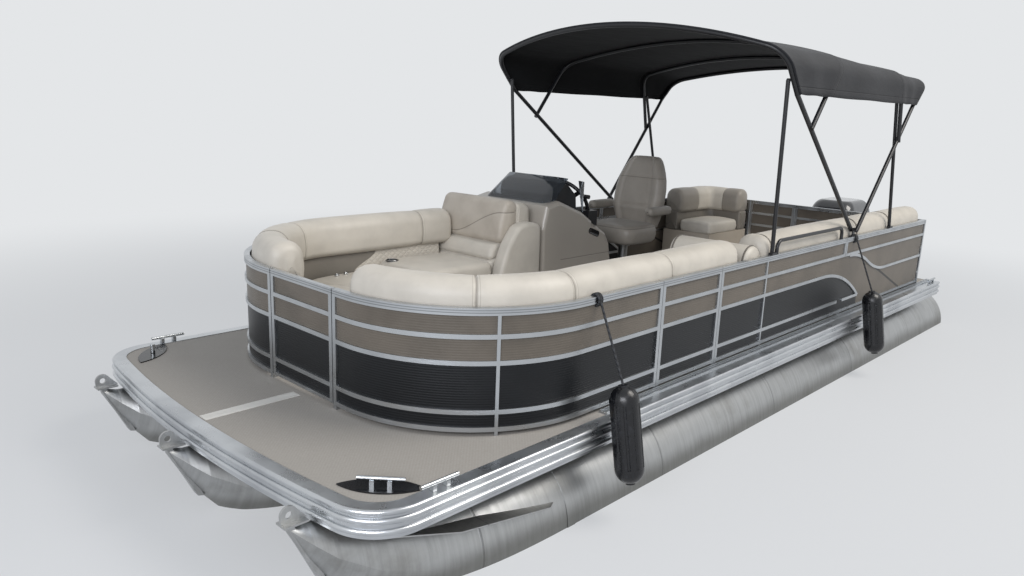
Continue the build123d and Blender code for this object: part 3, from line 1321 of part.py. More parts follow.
def chaise():
    """Backrest against the console, the bolster on its inner side, and the base under it."""
    bolster_y = CHAISE_INNER_Y - CHAISE_BOLSTER_WIDTH
    top_x = CHAISE_FRONT_X - CHAISE_LEAN
    outline = make_face(Polyline(
        (CHAISE_FRONT_X, BASE_HEIGHT), (CHAISE_FRONT_X, BASE_HEIGHT + SEAT_THICKNESS), (top_x, CHAISE_TOP - 40),
        (top_x - 45, CHAISE_TOP), (CHAISE_STERN_X + 60, CHAISE_TOP), (CHAISE_STERN_X, CHAISE_TOP - 50),
        (CHAISE_STERN_X, BASE_HEIGHT), close=True))
    back_y = bolster_y - 2 * SEAT
    back = from_port(outline, back_y, back_y - helm_outer_y())
    rim = back.faces().sort_by(Axis.Y)[-1].edges()
    back = fillet([edge for edge in rim if edge.center().Z > DECK_TOP + CHAISE_TOP - 60], 30)
    shield = make_face(Polyline(
        (CHAISE_STERN_X, SEAT), (CHAISE_FRONT_X - 40, SEAT), (CHAISE_FRONT_X - 10, 300),
        (CHAISE_FRONT_X - 90, 520), (CHAISE_FRONT_X - 190, CHAISE_BOLSTER_TOP - 20),
        (CHAISE_FRONT_X - 260, CHAISE_BOLSTER_TOP), (CHAISE_STERN_X, CHAISE_BOLSTER_TOP - 10), close=True))
    bolster = from_port(shield, CHAISE_INNER_Y, CHAISE_BOLSTER_WIDTH)
    bolster = fillet(bolster.faces().sort_by(Axis.Y)[-1].edges(), 28)
    base = box((CHAISE_STERN_X, CHAISE_FRONT_X), (helm_outer_y(), back_y),
               (DECK_TOP, DECK_TOP + BASE_HEIGHT - SEAT))
    return back, bolster, base


def build_lounges():
    """Bow lounges, chaise, aft lounge and aft bench."""
    base, seat, back = bow_lounge(PORT_LOUNGE_END_X)
    far_base, far_seat, far_back = bow_lounge(CHAISE_FRONT_X + SEAT)
    NODES["bow_bases"] = group([base, mirrored(far_base)])
    NODES["bow_seats"] = group([seat, mirrored(far_seat)])
    NODES["bow_backs"] = group([back, mirrored(far_back)])
    low = DECK_TOP
    back, bolster, base = chaise()
    NODES["chaise_back"] = back
    NODES["chaise_bolster"] = bolster
    NODES["chaise_base"] = base
    inner_x = FENCE_STERN_X + TOP_RAIL_DEPTH + CUSHION_GAP
    outer = FENCE_HALF_BEAM - TOP_RAIL_DEPTH - CUSHION_GAP
    base_z = (low, low + BASE_HEIGHT)
    seat_z = (low + BASE_HEIGHT + SEAT, low + BASE_HEIGHT + SEAT + SEAT_THICKNESS)
    back_z = (low + BASE_HEIGHT + SEAT, low + BACK_TOP)
    port_base = box((inner_x, AFT_LOUNGE_FRONT_X), (AFT_BASE_INNER_Y, outer), base_z)
    port_x = (inner_x, AFT_LOUNGE_FRONT_X - 210)
    port_seat = box(port_x, (AFT_BASE_INNER_Y - 30, outer - BACK_THICKNESS - SEAT), seat_z)
    port_back = box(port_x, (outer - BACK_THICKNESS, outer), back_z)
    bench_low = STERN_GATE_STARBOARD_Y - 15
    far_base = box((inner_x, AFT_BENCH_FRONT_X), (-outer, bench_low), base_z)
    far_seat = box((inner_x + BACK_THICKNESS + SEAT, AFT_BENCH_FRONT_X),
                   (-outer + BACK_THICKNESS + SEAT, bench_low), seat_z)
    far_back = box((inner_x, AFT_BENCH_FRONT_X), (-outer, -outer + BACK_THICKNESS), back_z)
    far_back += box((inner_x, inner_x + BACK_THICKNESS), (-outer, bench_low), back_z)
    NODES["aft_bases"] = group([port_base, far_base])
    NODES["aft_seats"] = group([port_seat, far_seat])
    fore_back = box((AFT_LOUNGE_FRONT_X - 200, AFT_LOUNGE_FRONT_X), (AFT_BASE_INNER_Y - 20, outer),
                    (low + BASE_HEIGHT + SEAT, low + BOLSTER_HEIGHT - BOLSTER_RADIUS - SEAT))
    NODES["aft_backs"] = group([port_back, far_back, fore_back])
    NODES["roll_bolster"] = rod((AFT_LOUNGE_FRONT_X - 100, AFT_BASE_INNER_Y - 20, low + BOLSTER_HEIGHT),
                                (AFT_LOUNGE_FRONT_X - 100, outer, low + BOLSTER_HEIGHT), BOLSTER_RADIUS)


def build_helm():
    """Console, screen, wheel, throttle and chair."""
    NODES["console"] = console()
    NODES["windscreen"] = windscreen()
    NODES["steering_column"] = steering_column()
    NODES["steering_wheel"] = steering_wheel()
    NODES["throttle"] = throttle()
    NODES["chair_pedestal"] = chair_pedestal()
    place = Pos(CHAIR_X, CHAIR_Y, DECK_TOP)
    bracket, seat, back = chair()
    NODES["chair_bracket"] = place * bracket
    NODES["chair_seat"] = place * seat
    NODES["chair_back"] = place * back
    NODES["chair_arms"] = place * group(chair_arms())


def build_canopy():
    """Canopy with its frame, and the grab rail."""
    mains = [main_bow(0), main_bow(3)]
    seconds = [second_bow(1, 260.0, mains), second_bow(2, 300.0, mains)]
    NODES["canopy_top"] = canopy_top()
    NODES["canopy_main_bows"] = group(mains)
    NODES["canopy_second_bows"] = group(seconds)
    NODES["canopy_struts"] = group(canopy_struts(mains + seconds))
    NODES["canopy_pivots"] = group(canopy_pivots())
    NODES["grab_rail"] = grab_rail()


def build_fittings():
    """Fenders, their lines and the outboard motor."""
    shapes, lines = fenders_and_lines()
    NODES["fenders"] = group(shapes)
    NODES["fender_lines"] = group(lines)
    NODES["motor_pod"] = motor_pod()
    NODES["clamp_bracket"] = group(clamp_bracket())
    NODES["swivel_bracket"] = swivel_bracket()
    NODES["engine_cover"] = engine_cover()
    NODES["midsection"] = midsection()
    NODES["propeller"] = propeller()


def write_parts():
    """One file for each node."""
    os.makedirs("parts", exist_ok=True)
    for name, shape in NODES.items():
        shape.label = name
        export_step(shape, f"parts/{name}.step")


build_hull()
build_fence()
build_lounges()
build_helm()
build_canopy()
build_fittings()
write_parts()
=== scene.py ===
import math
from functools import partial

import bmesh
import bpy
from bpy.props import FloatProperty, FloatVectorProperty, PointerProperty
from mathutils import Matrix, Vector


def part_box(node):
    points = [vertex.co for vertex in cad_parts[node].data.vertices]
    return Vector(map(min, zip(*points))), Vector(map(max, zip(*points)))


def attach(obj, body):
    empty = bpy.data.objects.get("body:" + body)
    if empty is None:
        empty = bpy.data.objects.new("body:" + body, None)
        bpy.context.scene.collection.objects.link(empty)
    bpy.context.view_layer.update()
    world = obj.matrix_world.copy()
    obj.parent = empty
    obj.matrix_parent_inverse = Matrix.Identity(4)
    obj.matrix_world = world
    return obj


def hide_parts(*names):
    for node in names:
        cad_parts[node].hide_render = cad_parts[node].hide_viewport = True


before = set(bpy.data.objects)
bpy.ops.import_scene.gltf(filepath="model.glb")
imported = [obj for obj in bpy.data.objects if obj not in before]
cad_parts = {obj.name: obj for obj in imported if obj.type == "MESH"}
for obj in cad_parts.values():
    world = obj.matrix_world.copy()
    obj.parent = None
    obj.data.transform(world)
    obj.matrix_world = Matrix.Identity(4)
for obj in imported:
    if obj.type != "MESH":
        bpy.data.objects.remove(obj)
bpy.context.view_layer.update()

bl_info = {
    "name": "Pontoon boat",
    "version": (1, 0, 0),
    "blender": (4, 5, 0),
    "location": "View3D > Sidebar > Pontoon boat",
    "description": "Cushions, canopy, finishes and fittings of a pontoon boat, on its fixed frame",
    "category": "Object",
}

# Frame: +X towards the bow, +Y to port, +Z up, metres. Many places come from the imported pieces.
DECK_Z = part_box("deck")[1].z
HALF_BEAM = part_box("fence_port")[1].y
FENCE_FRONT_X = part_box("fence_port")[1].x
RAIL_TOP_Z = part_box("fence_port")[1].z
FENCE_CORNER = 0.8        # radius of the fence's bow corners
RAIL_HALF = 0.016         # of the top rail, across
RAIL_GROOVES = (0.010, 0.021)  # depths of the top rail's two grooves below its top
TUBE_SHEET = 1.32         # length of one rolled sheet of a tube, from weld to weld
WELD_X = -0.05            # of one of the welds
PLATE_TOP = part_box("corner_plates")[0].z + 0.009  # of the plates under the cleats
COVER_JOINT = 0.105       # of the motor cover's pan, above the cover's lower edge
COVER_STRIPE = 0.19       # of the stripe round the cover, above the same edge
# Dark line on the aft panels: start x and height, slope, length over which it bends, end x, half width
SWOOSH = (-1.30, 0.928, 0.41, 0.25, -2.57, 0.010)

# Lounges: places across are insets from the fence, heights are above the deck
GATE_EDGE_Y = 0.328       # where the bow lounges end beside the gate
BACK_INSET = 0.151        # of the middle of a back cushion
SEAT_INSET = 0.503        # of the middle of a bow seat
PORT_END_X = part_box("bow_backs")[0].x
CHAISE_FRONT_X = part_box("chaise_back")[1].x
CHAISE_INNER_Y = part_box("chaise_bolster")[1].y
CHAISE_WIDTH = 0.669
CHAISE_GAP = 0.0006       # between the chaise's backrest and its bolster
BOLSTER_WIDTH = 0.11
# Arched seam of the chaise's upper pad. columns: place across, height above the deck
CHAISE_ARCH = ((-0.93, 0.560), (-0.46, 0.735))
# Quilted part of the starboard backrest: side of a diamond, slope of the stitching, and the x where its
# curved border starts and ends
QUILT_PITCH = 0.05
QUILT_SLOPE = 1.4
QUILT_BORDER = (1.72, 1.54)
AFT_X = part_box("aft_seats")[0].x
AFT_SEAT_END_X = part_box("aft_seats")[1].x
AFT_ROLL_FRONT_X = 0.045
AFT_SEAT_Y = 0.727
BENCH_FRONT_X = -2.25
BENCH_INNER_Y = -0.575
BENCH_BACK_HALF = 0.095   # of its thickness
BENCH_BEND = 0.15         # radius of the bench's back where it turns across the stern
BENCH_SEAMS = (0.33, 0.83)
# Cross seams of the long backs, as distances from their forward ends
PORT_SEAMS = (0.60, 1.04, 1.86)
STARBOARD_SEAMS = (0.45, 0.77, 1.80)
AFT_SEAMS = (0.10, 1.545, 2.245)
AFT_SEAT_SEAMS = (0.61, 1.21, 1.82, 2.43)
LOW_SEAT_END_X = 1.54     # where the low starboard seat meets the raised one before the chaise
LOW_SEAT_GAP = 0.002      # between those two seats
ROLL_OVERLAP = 0.10       # of the starboard back's roll past the chaise's front
AFT_STUB_INSET = 0.19     # of the short pad behind the roll bolster, from the middle of the back
AFT_STUB_LENGTH = 0.2

# Windscreen. Heights are above the deck
SCREEN_FRONT_X = 0.42     # of its foot, at SCREEN_FOOT
SCREEN_FOOT = 0.79
SCREEN_TOP = 0.962
SCREEN_AFT_X = -0.06
SCREEN_RAKE = 1.163       # how far it goes aft for each metre that it rises
SCREEN_TOP_SLOPE = 0.18   # how far its top edge rises for each metre towards the bow
SCREEN_LEAN = 0.2         # how far its sides go inwards for each metre
SCREEN_AFT_HEIGHT = 0.9   # of the point at x = 0 on its aft edge
SCREEN_AFT_RAKE = 0.25    # how far that edge goes aft for each metre that it rises
SCREEN_SIDES_Y = (-1.075, -0.385)
SCREEN_CORNER = 0.085
SCREEN_THICKNESS = 0.006
# Dash that the screen stands on, seen from port. columns: x, height above the deck
DASH_LINE = ((0.47, 0.77), (0.33, 0.80), (0.06, 0.70), (-0.17, 0.56))

# Pressed crease on the console's side
CREASE_HEIGHT = 0.36
CREASE_END_X = 0.3
# Dash pod: how far its face leans back, and its first gauge's x, y and height above the deck
POD_TILT = math.atan2(-0.651, 0.759)
FIRST_GAUGE = (0.0765, -0.60, 0.861)
GAUGE_RADIUS = 0.040
GAUGE_DEPTH = 0.014
GAUGE_PITCH = 0.18        # from one gauge to the next, to starboard
SWITCH_REACH = 0.29       # from the first gauge to the first switch
SWITCH_PITCH = 0.026
SWITCH_SIZE = (0.024, 0.014, 0.010)
# Oval grip on the console's inner side: x, height above the deck, length, width, and its rise towards the
# bow in degrees
GRIP = (-0.085, 0.535, 0.135, 0.046, 20.0)

# Deck fittings. columns: x, y, height above the deck
CUP_HOLDER = (1.485, -0.845, 0.409)
CUP_RADIUS = 0.044
CUP_DEPTH = 0.03
CUP_RIM_RADIUS = 0.041
SEAT_LATCH = (1.915, -0.862, 0.3585)
LATCH_SIZE = (0.026, 0.018, 0.010)
LATCH_SHIFT = (-0.078, -0.014, 0)  # from the forward latch to the aft one
LINE_RADIUS = 0.006       # of the fenders' lines
WRAP_PITCH = 0.012        # from one turn of line to the next
WRAP_RADIUS = 0.0275      # of a turn round the top rail
WRAP_DROP = 0.019         # of its middle below the rail's top
STRIP_WIDTH = 0.065       # of the seam strip on the bow deck
STRIP_HEIGHT = 0.003

# Canopy bows from the bow aft. columns: x of the lower end, lean forwards in degrees, height along the bow
CANOPY_EDGE_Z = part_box("canopy_top")[0].z
CANOPY_HALF = 1.215
CANOPY_BOWS = ((-0.020, 42.0, 0.585), (-0.440, -38.0, 0.545), (-1.850, 12.0, 0.390),
               (-2.150, -48.0, 0.500))
CANOPY_SHOULDER = 0.9
CANOPY_CROWN_DROP = 0.34
CANOPY_CORNER = 0.35
HEM_WIDTH = 0.045
SLEEVE_HALF = 0.035       # from a bow to the stitching beside it
FOLD_DROP = 0.6           # from the canopy's edge down to the line that its folds point to
FLAP_RUN = 0.02           # how far the flap at each end turns in under the cloth, along the boat
FLAP_DEPTH = 0.03

# Camera of the photograph
CAMERA_PLACE = (4.673, 3.33, 1.9045)
CAMERA_YAW = 3.903
CAMERA_DOWN = 0.226
CAMERA_ROLL = 0.037
CAMERA_LENS = 27.305      # millimetres, on a sensor 36 mm wide
SENSOR = 36.0
SURROUNDINGS = "E4E6E8"
FLOOR_FADE = (3.5, 10.0)  # distances over which the floor runs into the surroundings


def linear(code):
    """A colour written as six hex digits, as the linear values that shaders take."""
    values = [int(code[index:index + 2], 16) / 255 for index in (0, 2, 4)]
    return [v / 12.92 if v <= 0.04045 else ((v + 0.055) / 1.055) ** 2.4 for v in values] + [1.0]


# What each node of a kind starts from here
NODE_HABITS = {
    "MapRange": {"interpolation_type": "SMOOTHSTEP"},
    "Mix": {"data_type": "RGBA"},
    "TexNoise": {"Detail": 4.0, "Roughness": 0.55},
}


def node(tree, kind, *values, **named):
    """Adds a node. Values in order fill the inputs in use; a capitalised name is an input, another a setting.

    A kind in small letters is a step of arithmetic. A value that is a node or one of its outputs is linked,
    and a colour code is made linear.
    """
    if kind.islower():
        kind, named["operation"] = "Math", kind.upper()
    made = tree.nodes.new("ShaderNode" + kind)
    habits = NODE_HABITS.get(kind, {})
    for name, value in (habits | named).items():
        if name[0].islower():
            setattr(made, name, value)
    inputs = [(name, value) for name, value in habits.items() if name[0].isupper()]
    inputs += zip([index for index, socket in enumerate(made.inputs) if socket.enabled], values)
    inputs += [(name.replace("_", " "), value) for name, value in named.items() if name[0].isupper()]
    for name, value in inputs:
        socket = made.inputs[name]
        if isinstance(value, bpy.types.Node):
            value = next(output for output in value.outputs if output.enabled)
        if isinstance(value, bpy.types.NodeSocket):
            tree.links.new(value, socket)
        else:
            socket.default_value = linear(value) if isinstance(value, str) else value
    return made


def blank_finish(name):
    """An empty material, a function that adds a node to it, and the place on the boat in metres."""
    material = bpy.data.materials.new(name)
    material.use_nodes = True
    material.node_tree.nodes.clear()
    add = partial(node, material.node_tree)
    return material, add, add("TexCoord").outputs["Object"]


def line_at(add, value, level, inner, outer, strength=1.0):
    """A line where a value meets a level: full up to inner metres from it, and gone at outer."""
    gap = add("absolute", add("subtract", value, level))
    return add("MapRange", gap, inner, outer, strength, 0.0)


# Finishes. Each gives one real material and the way its surface was made.


def extruded_aluminium():
    """Clear anodised extrusions: fine grain, dull patches, and two long grooves in the top rail drawn in
    painted shade.
    """
    material, add, place = blank_finish("extruded aluminium")
    dull = add("TexNoise", place, 1 / 0.12)
    height = add("SeparateXYZ", place).outputs["Z"]
    # Mask of painted shade: a dark line along each of the top rail's grooves, where shade falls in them
    grooves = 0.0
    for drop in RAIL_GROOVES:
        groove = line_at(add, height, RAIL_TOP_Z - drop, 0.0012, 0.0028)
        grooves = add("maximum", grooves, groove)
    colour = add("Mix", dull, "C9CCCF", "A7ABAF")
    # painted shade mixed into the rail's colour along its grooves
    colour = add("Mix", add("multiply", grooves, 0.6), colour, "5A5D60")
    grain = add("TexNoise", place, 1 / 0.004, 2.0)
    shader = add("BsdfPrincipled", Base_Color=colour, Metallic=1.0,
                 Roughness=add("MapRange", dull, 0.3, 0.75, 0.26, 0.42),
                 Normal=add("Bump", Height=grain, Distance=0.0002, Strength=0.35))
    add("OutputMaterial", shader)
    return material


def mill_aluminium():
    """Rolled sheet of the tubes: streaks round the tube, water marks and a stained waterline."""
    material, add, place = blank_finish("mill aluminium tubes")
    streaks = add("TexNoise", add("Mapping", place, Scale=(1.0, 0.05, 0.05)), 1 / 0.022, 5.0, 0.65)
    marks = add("TexNoise", place, 1 / 0.35, 6.0, 0.6)
    x, _, height = add("SeparateXYZ", place).outputs
    level = add("multiply_add", marks, 0.09, height)
    wet = add("MapRange", level, 0.07, 0.17, 1.0, 0.0)
    ring = add("pingpong", add("subtract", x, WELD_X), TUBE_SHEET / 2)
    weld = add("MapRange", ring, 0.003, 0.007, 1.0, 0.0)
    colour = add("Mix", add("MapRange", streaks, 0.25, 0.85), "B6B7B7", "A2A3A3")
    colour = add("Mix", add("multiply", weld, 0.5), colour, "6E6F70")
    colour = add("Mix", add("MapRange", marks, 0.5, 0.75, 0.0, 0.5), colour, "77756F")
    colour = add("Mix", add("multiply", wet, 0.6), colour, "55544C")
    satin = add("MapRange", streaks, 0.3, 0.7, 0.24, 0.33)
    dents = add("Bump", Height=marks, Distance=0.008, Strength=0.35)
    shader = add("BsdfPrincipled", Base_Color=colour, Metallic=1.0,
                 Roughness=add("multiply_add", marks, 0.22, satin),
                 Normal=add("Bump", Height=weld, Distance=0.004, Strength=0.6, Normal=dents))
    add("OutputMaterial", shader)
    return material


def bright_rub_rail():
    """Polished extrusion of the rub rail, with duller patches where it has rubbed."""
    material, add, place = blank_finish("bright rub rail")
    scuffs = add("TexNoise", place, 1 / 0.12, 4.0, 0.6)
    dull = add("MapRange", add("TexNoise", place, 1 / 0.4), 0.4, 0.7)
    shader = add("BsdfPrincipled", Base_Color=add("Mix", dull, "C9CCCF", "B2B5B9"), Metallic=1.0,
                 Roughness=add("MapRange", scuffs, 0.3, 0.8, 0.26, 0.36))
    add("OutputMaterial", shader)
    return material


def woven_deck():
    """Woven vinyl floor. The strands are drawn 9 mm wide, because real ones of 2 mm don't show from here."""
    material, add, place = blank_finish("woven vinyl deck")
    x, y, _ = add("SeparateXYZ", place).outputs
    across, along = (add("sine", add("multiply", value, 2 * math.pi / 0.018)) for value in (x, y))
    weave = add("multiply_add", add("multiply", across, along), 0.5, 0.5)
    fleck = add("TexNoise", place, 1 / 0.01, 3.0, 0.7)
    soil = add("TexNoise", place, 1 / 0.6, 5.0)
    colour = add("Mix", fleck, "A6A29C", "918D87")
    colour = add("Mix", add("multiply", weave, 0.25), colour, "7A756E")
    colour = add("Mix", add("MapRange", soil, 0.5, 0.8, 0.0, 0.25), colour, "86807A")
    shader = add("BsdfPrincipled", Base_Color=colour, Roughness=0.72, Specular_IOR_Level=0.35,
                 Normal=add("Bump", Height=weave, Distance=0.0008, Strength=0.4))
    add("OutputMaterial", shader)
    return material


def ribbed_sheet(name, face, shaded, roughness, swoosh=False):
    """Painted fence sheet with ribs rolled in every 12 mm; swoosh draws the dark line on the aft panels."""
    material, add, place = blank_finish(name)
    x, _, height = add("SeparateXYZ", place).outputs
    ribs = add("sine", add("multiply", height, 2 * math.pi / 0.012))
    ribs = add("multiply_add", ribs, 0.5, 0.5)
    dust = add("TexNoise", place, 1 / 0.3, 5.0)
    colour = add("Mix", add("MapRange", dust, 0.35, 0.75), face, shaded)
    if swoosh:
        colour = add("Mix", swoosh_line(add, x, height), colour, "2B2926")
    shader = add("BsdfPrincipled", Base_Color=colour, Roughness=roughness, Specular_IOR_Level=0.3,
                 Normal=add("Bump", Height=ribs, Distance=0.0012, Strength=0.5))
    add("OutputMaterial", shader)
    return material


def swoosh_line(add, x, height):
    """1 on the line that leaves the waved rail and runs down to the stern, 0 elsewhere."""
    start, top, slope, bend, end, half = SWOOSH
    run = add("maximum", add("subtract", start, x), 0.0)
    square = add("multiply", add("multiply", run, run), slope)
    drop = add("divide", square, add("add", run, bend))
    level = add("add", height, drop)
    gap = add("absolute", add("subtract", level, top))
    inside = add("multiply", add("less_than", x, start), add("greater_than", x, end))
    return add("multiply", add("less_than", gap, half), inside)


# Satin of foam-backed vinyl, with a faint light at its edges, and the shade in its seams
VINYL_SHEEN = {"Roughness": 0.46, "Specular_IOR_Level": 0.4, "Sheen_Weight": 0.08, "Sheen_Roughness": 0.5}
STITCH_SHADE = "4A443C"


def vinyl_grain(add, place, height):
    """The fine grain of vinyl, over the folds and seams that a height gives."""
    folded = add("Bump", Height=height, Distance=0.006, Strength=0.55)
    grain = add("TexNoise", place, 1 / 0.003, 2.0)
    return add("Bump", Height=grain, Distance=0.0003, Strength=0.25, Normal=folded)


def marine_vinyl(name, face, shaded, quilt=False):
    """Foam-backed vinyl: fine grain, soft folds and seams with painted shade, puckers and two rows of thread
    at seams.
    """
    material, add, place = blank_finish(name)
    seam = add("Attribute", attribute_name="seam").outputs["Fac"]
    folds = add("TexNoise", place, 1 / 0.16, 3.0)
    # painted shade: the cover turns to its shaded colour with the folds' relief
    colour = add("Mix", add("MapRange", folds, 0.3, 0.8), face, shaded)
    colour = add("Mix", add("MapRange", seam, 0.0, 0.006, 0.55, 0.0), colour, STITCH_SHADE)
    thread = add("pingpong", add("add", seam, 0.005), 0.005)
    thread = add("multiply", add("MapRange", thread, 0.001, 0.0025, 0.4, 0.0), add("less_than", seam, 0.018))
    colour = add("Mix", thread, colour, "8C8478")
    close = add("MapRange", seam, 0.0, 0.10, 1.0, 0.0)
    pucker = add("multiply", add("TexNoise", place, 1 / 0.035, 2.0), close)
    normal = vinyl_grain(add, place, add("multiply_add", pucker, 0.8, folds))
    if quilt:
        colour, normal = quilted(add, place, colour, normal)
    shader = add("BsdfPrincipled", Base_Color=colour, Normal=normal, **VINYL_SHEEN)
    add("OutputMaterial", shader)
    return material


def chaise_vinyl(face, shaded):
    """The same vinyl, browner, with painted shade on its folds and the arched seam sewn across the upper pad.
    """
    material, add, place = blank_finish("chaise vinyl")
    folds = add("TexNoise", place, 1 / 0.16, 3.0)
    x, y, z = add("SeparateXYZ", place).outputs
    (low_y, low_z), (high_y, high_z) = CHAISE_ARCH
    arch = add("multiply_add", add("MapRange", y, low_y, high_y), high_z - low_z, DECK_Z + low_z)
    seam = line_at(add, z, arch, 0.0015, 0.006)
    for value, edge in ((z, DECK_Z + 0.53), (x, CHAISE_FRONT_X - 0.24)):
        seam = add("multiply", seam, add("greater_than", value, edge))
    # painted shade: the cover turns to its shaded colour with the folds' relief
    colour = add("Mix", add("MapRange", folds, 0.3, 0.8), face, shaded)
    colour = add("Mix", add("multiply", seam, 0.55), colour, STITCH_SHADE)
    sunk = add("multiply", line_at(add, z, arch, 0.0, 0.02), 0.6)
    normal = vinyl_grain(add, place, add("subtract", folds, sunk))
    shader = add("BsdfPrincipled", Base_Color=colour, Normal=normal, **VINYL_SHEEN)
    add("OutputMaterial", shader)
    return material


def quilted(add, place, colour, normal):
    """Diamond stitching with painted shade at its lines, up to a curved border, and a darker plain cover
    beyond.
    """
    x, _, z = add("SeparateXYZ", place).outputs
    border = add("MapRange", z, DECK_Z + 0.34, DECK_Z + 0.47, *QUILT_BORDER)
    plain = add("MapRange", add("subtract", x, border), -0.004, 0.004)
    ridges = 1.0
    for slope in (QUILT_SLOPE, -QUILT_SLOPE):
        slant = add("multiply_add", z, slope, x)
        wave = add("pingpong", add("divide", slant, QUILT_PITCH), 1.0)
        gap = add("absolute", add("subtract", wave, 0.5))
        ridges = add("minimum", ridges, add("MapRange", gap, 0.0, 0.25))
    puffs = add("maximum", ridges, plain)
    # painted shade: each diamond darkens towards the stitch lines between its puffs
    stitched_and_shaded = add("Mix", add("MapRange", puffs, 0.0, 0.5, 0.16, 0.0), "C4BEB3", "8C8478")
    normal = add("Bump", Height=puffs, Distance=0.004, Strength=0.5, Normal=normal)
    return add("Mix", plain, stitched_and_shaded, colour), normal


def moulded_console():
    """Gelcoat moulding, satin, with one pressed crease line on its side, darkened as painted shade."""
    material, add, place = blank_finish("console moulding")
    x, _, z = add("SeparateXYZ", place).outputs
    aft = add("less_than", x, CREASE_END_X)
    crease = add("multiply", line_at(add, z, DECK_Z + CREASE_HEIGHT, 0.001, 0.004), aft)
    colour = add("Mix", add("TexNoise", place, 1 / 0.4, 3.0), "ABA59B", "9E978E")
    # painted shade: the crease line is drawn darker, where shade falls in it
    colour = add("Mix", add("multiply", crease, 0.6), colour, "4B4742")
    pressed = add("subtract", 1.0, crease)
    shader = add("BsdfPrincipled", Base_Color=colour, Roughness=0.33, Coat_Weight=0.3,
                 Coat_Roughness=0.15, Normal=add("Bump", Height=pressed, Distance=0.003, Strength=0.5))
    add("OutputMaterial", shader)
    return material


def moulded_plastic(name, face, shaded, roughness):
    """Moulded plastic with a fine leather grain from its mould."""
    material, add, place = blank_finish(name)
    grain = add("TexVoronoi", place, 260.0)
    shader = add("BsdfPrincipled", Base_Color=add("Mix", add("TexNoise", place, 1 / 0.2), face, shaded),
                 Roughness=roughness, Specular_IOR_Level=0.4,
                 Normal=add("Bump", Height=grain, Distance=0.0006, Strength=0.25))
    add("OutputMaterial", shader)
    return material


def powder_coat(name, face, shaded, roughness=0.38):
    """Powder coat of the frame, and the satin paint of the motor's leg, with a slight orange peel."""
    material, add, place = blank_finish(name)
    peel = add("TexNoise", place, 1 / 0.006, 2.0)
    shader = add("BsdfPrincipled", Base_Color=add("Mix", add("TexNoise", place, 1 / 0.15), face, shaded),
                 Roughness=roughness, Specular_IOR_Level=0.5,
                 Normal=add("Bump", Height=peel, Distance=0.0004, Strength=0.3))
    add("OutputMaterial", shader)
    return material


def gloss_paint():
    """Sprayed and clear-coated motor cover, with a pale pinstripe round it and the pan's dark joint."""
    material, add, place = blank_finish("motor cover paint")
    flake = add("TexNoise", place, 1 / 0.002, 2.0)
    height = add("SeparateXYZ", place).outputs["Z"]
    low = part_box("engine_cover")[0].z
    joint = line_at(add, height, low + COVER_JOINT, 0.002, 0.005)
    colour = add("Mix", flake, "141518", "26282C")
    colour = add("Mix", line_at(add, height, low + COVER_STRIPE, 0.006, 0.008, 0.9), colour, "A9ADB2")
    colour = add("Mix", joint, colour, "050505")
    open_joint = add("subtract", 1.0, joint)
    shader = add("BsdfPrincipled", Base_Color=colour, Metallic=0.25, Roughness=0.35, Coat_Weight=1.0,
                 Coat_Roughness=0.06, Normal=add("Bump", Height=open_joint, Distance=0.004, Strength=0.6))
    add("OutputMaterial", shader)
    return material


def cast_metal(name, face, shaded, roughness):
    """Cast and machined metal, with a faint grain."""
    material, add, place = blank_finish(name)
    grain = add("TexNoise", place, 1 / 0.008, 4.0, 0.6)
    shader = add("BsdfPrincipled", Base_Color=add("Mix", grain, face, shaded), Metallic=1.0,
                 Roughness=add("MapRange", grain, 0.3, 0.7, roughness, roughness + 0.15),
                 Normal=add("Bump", Height=grain, Distance=0.0005, Strength=0.3))
    add("OutputMaterial", shader)
    return material


def cleat_plate():
    """Polished cleat on a black moulded plate, which is the part below PLATE_TOP."""
    material, add, place = blank_finish("cleat plate")
    plate = add("less_than", add("SeparateXYZ", place).outputs["Z"], PLATE_TOP)
    grain = add("TexNoise", place, 1 / 0.008, 4.0, 0.6)
    colour = add("Mix", plate, add("Mix", grain, "C9CCCE", "A4A7AA"), "131417")
    shader = add("BsdfPrincipled", Base_Color=colour, Metallic=add("subtract", 1.0, plate),
                 Roughness=add("MapRange", grain, 0.3, 0.7, 0.12, 0.27),
                 Normal=add("Bump", Height=grain, Distance=0.0005, Strength=0.2))
    add("OutputMaterial", shader)
    return material


def smoked_acrylic():
    """Bent smoked sheet of the windscreen, with polishing marks."""
    material, add, place = blank_finish("smoked acrylic")
    haze = add("TexNoise", place, 1 / 0.05)
    shader = add("BsdfPrincipled", Base_Color=add("Mix", haze, "858B92", "767C83"), IOR=1.49,
                 Transmission_Weight=0.9, Roughness=add("MapRange", haze, 0.3, 0.8, 0.02, 0.09))
    add("OutputMaterial", shader)
    return material


def painted_edge_highlight():
    """Flame-polished edge of the windscreen's sheet, coloured pale as a painted highlight along it."""
    material, add, place = blank_finish("polished acrylic edge")
    haze = add("TexNoise", place, 1 / 0.02, 3.0)
    # painted highlight: a pale colour for the light that the edge catches
    shader = add("BsdfPrincipled", Base_Color=add("Mix", haze, "A9B4BE", "8E99A3"), IOR=1.49,
                 Roughness=0.18, Specular_IOR_Level=0.7)
    add("OutputMaterial", shader)
    return material


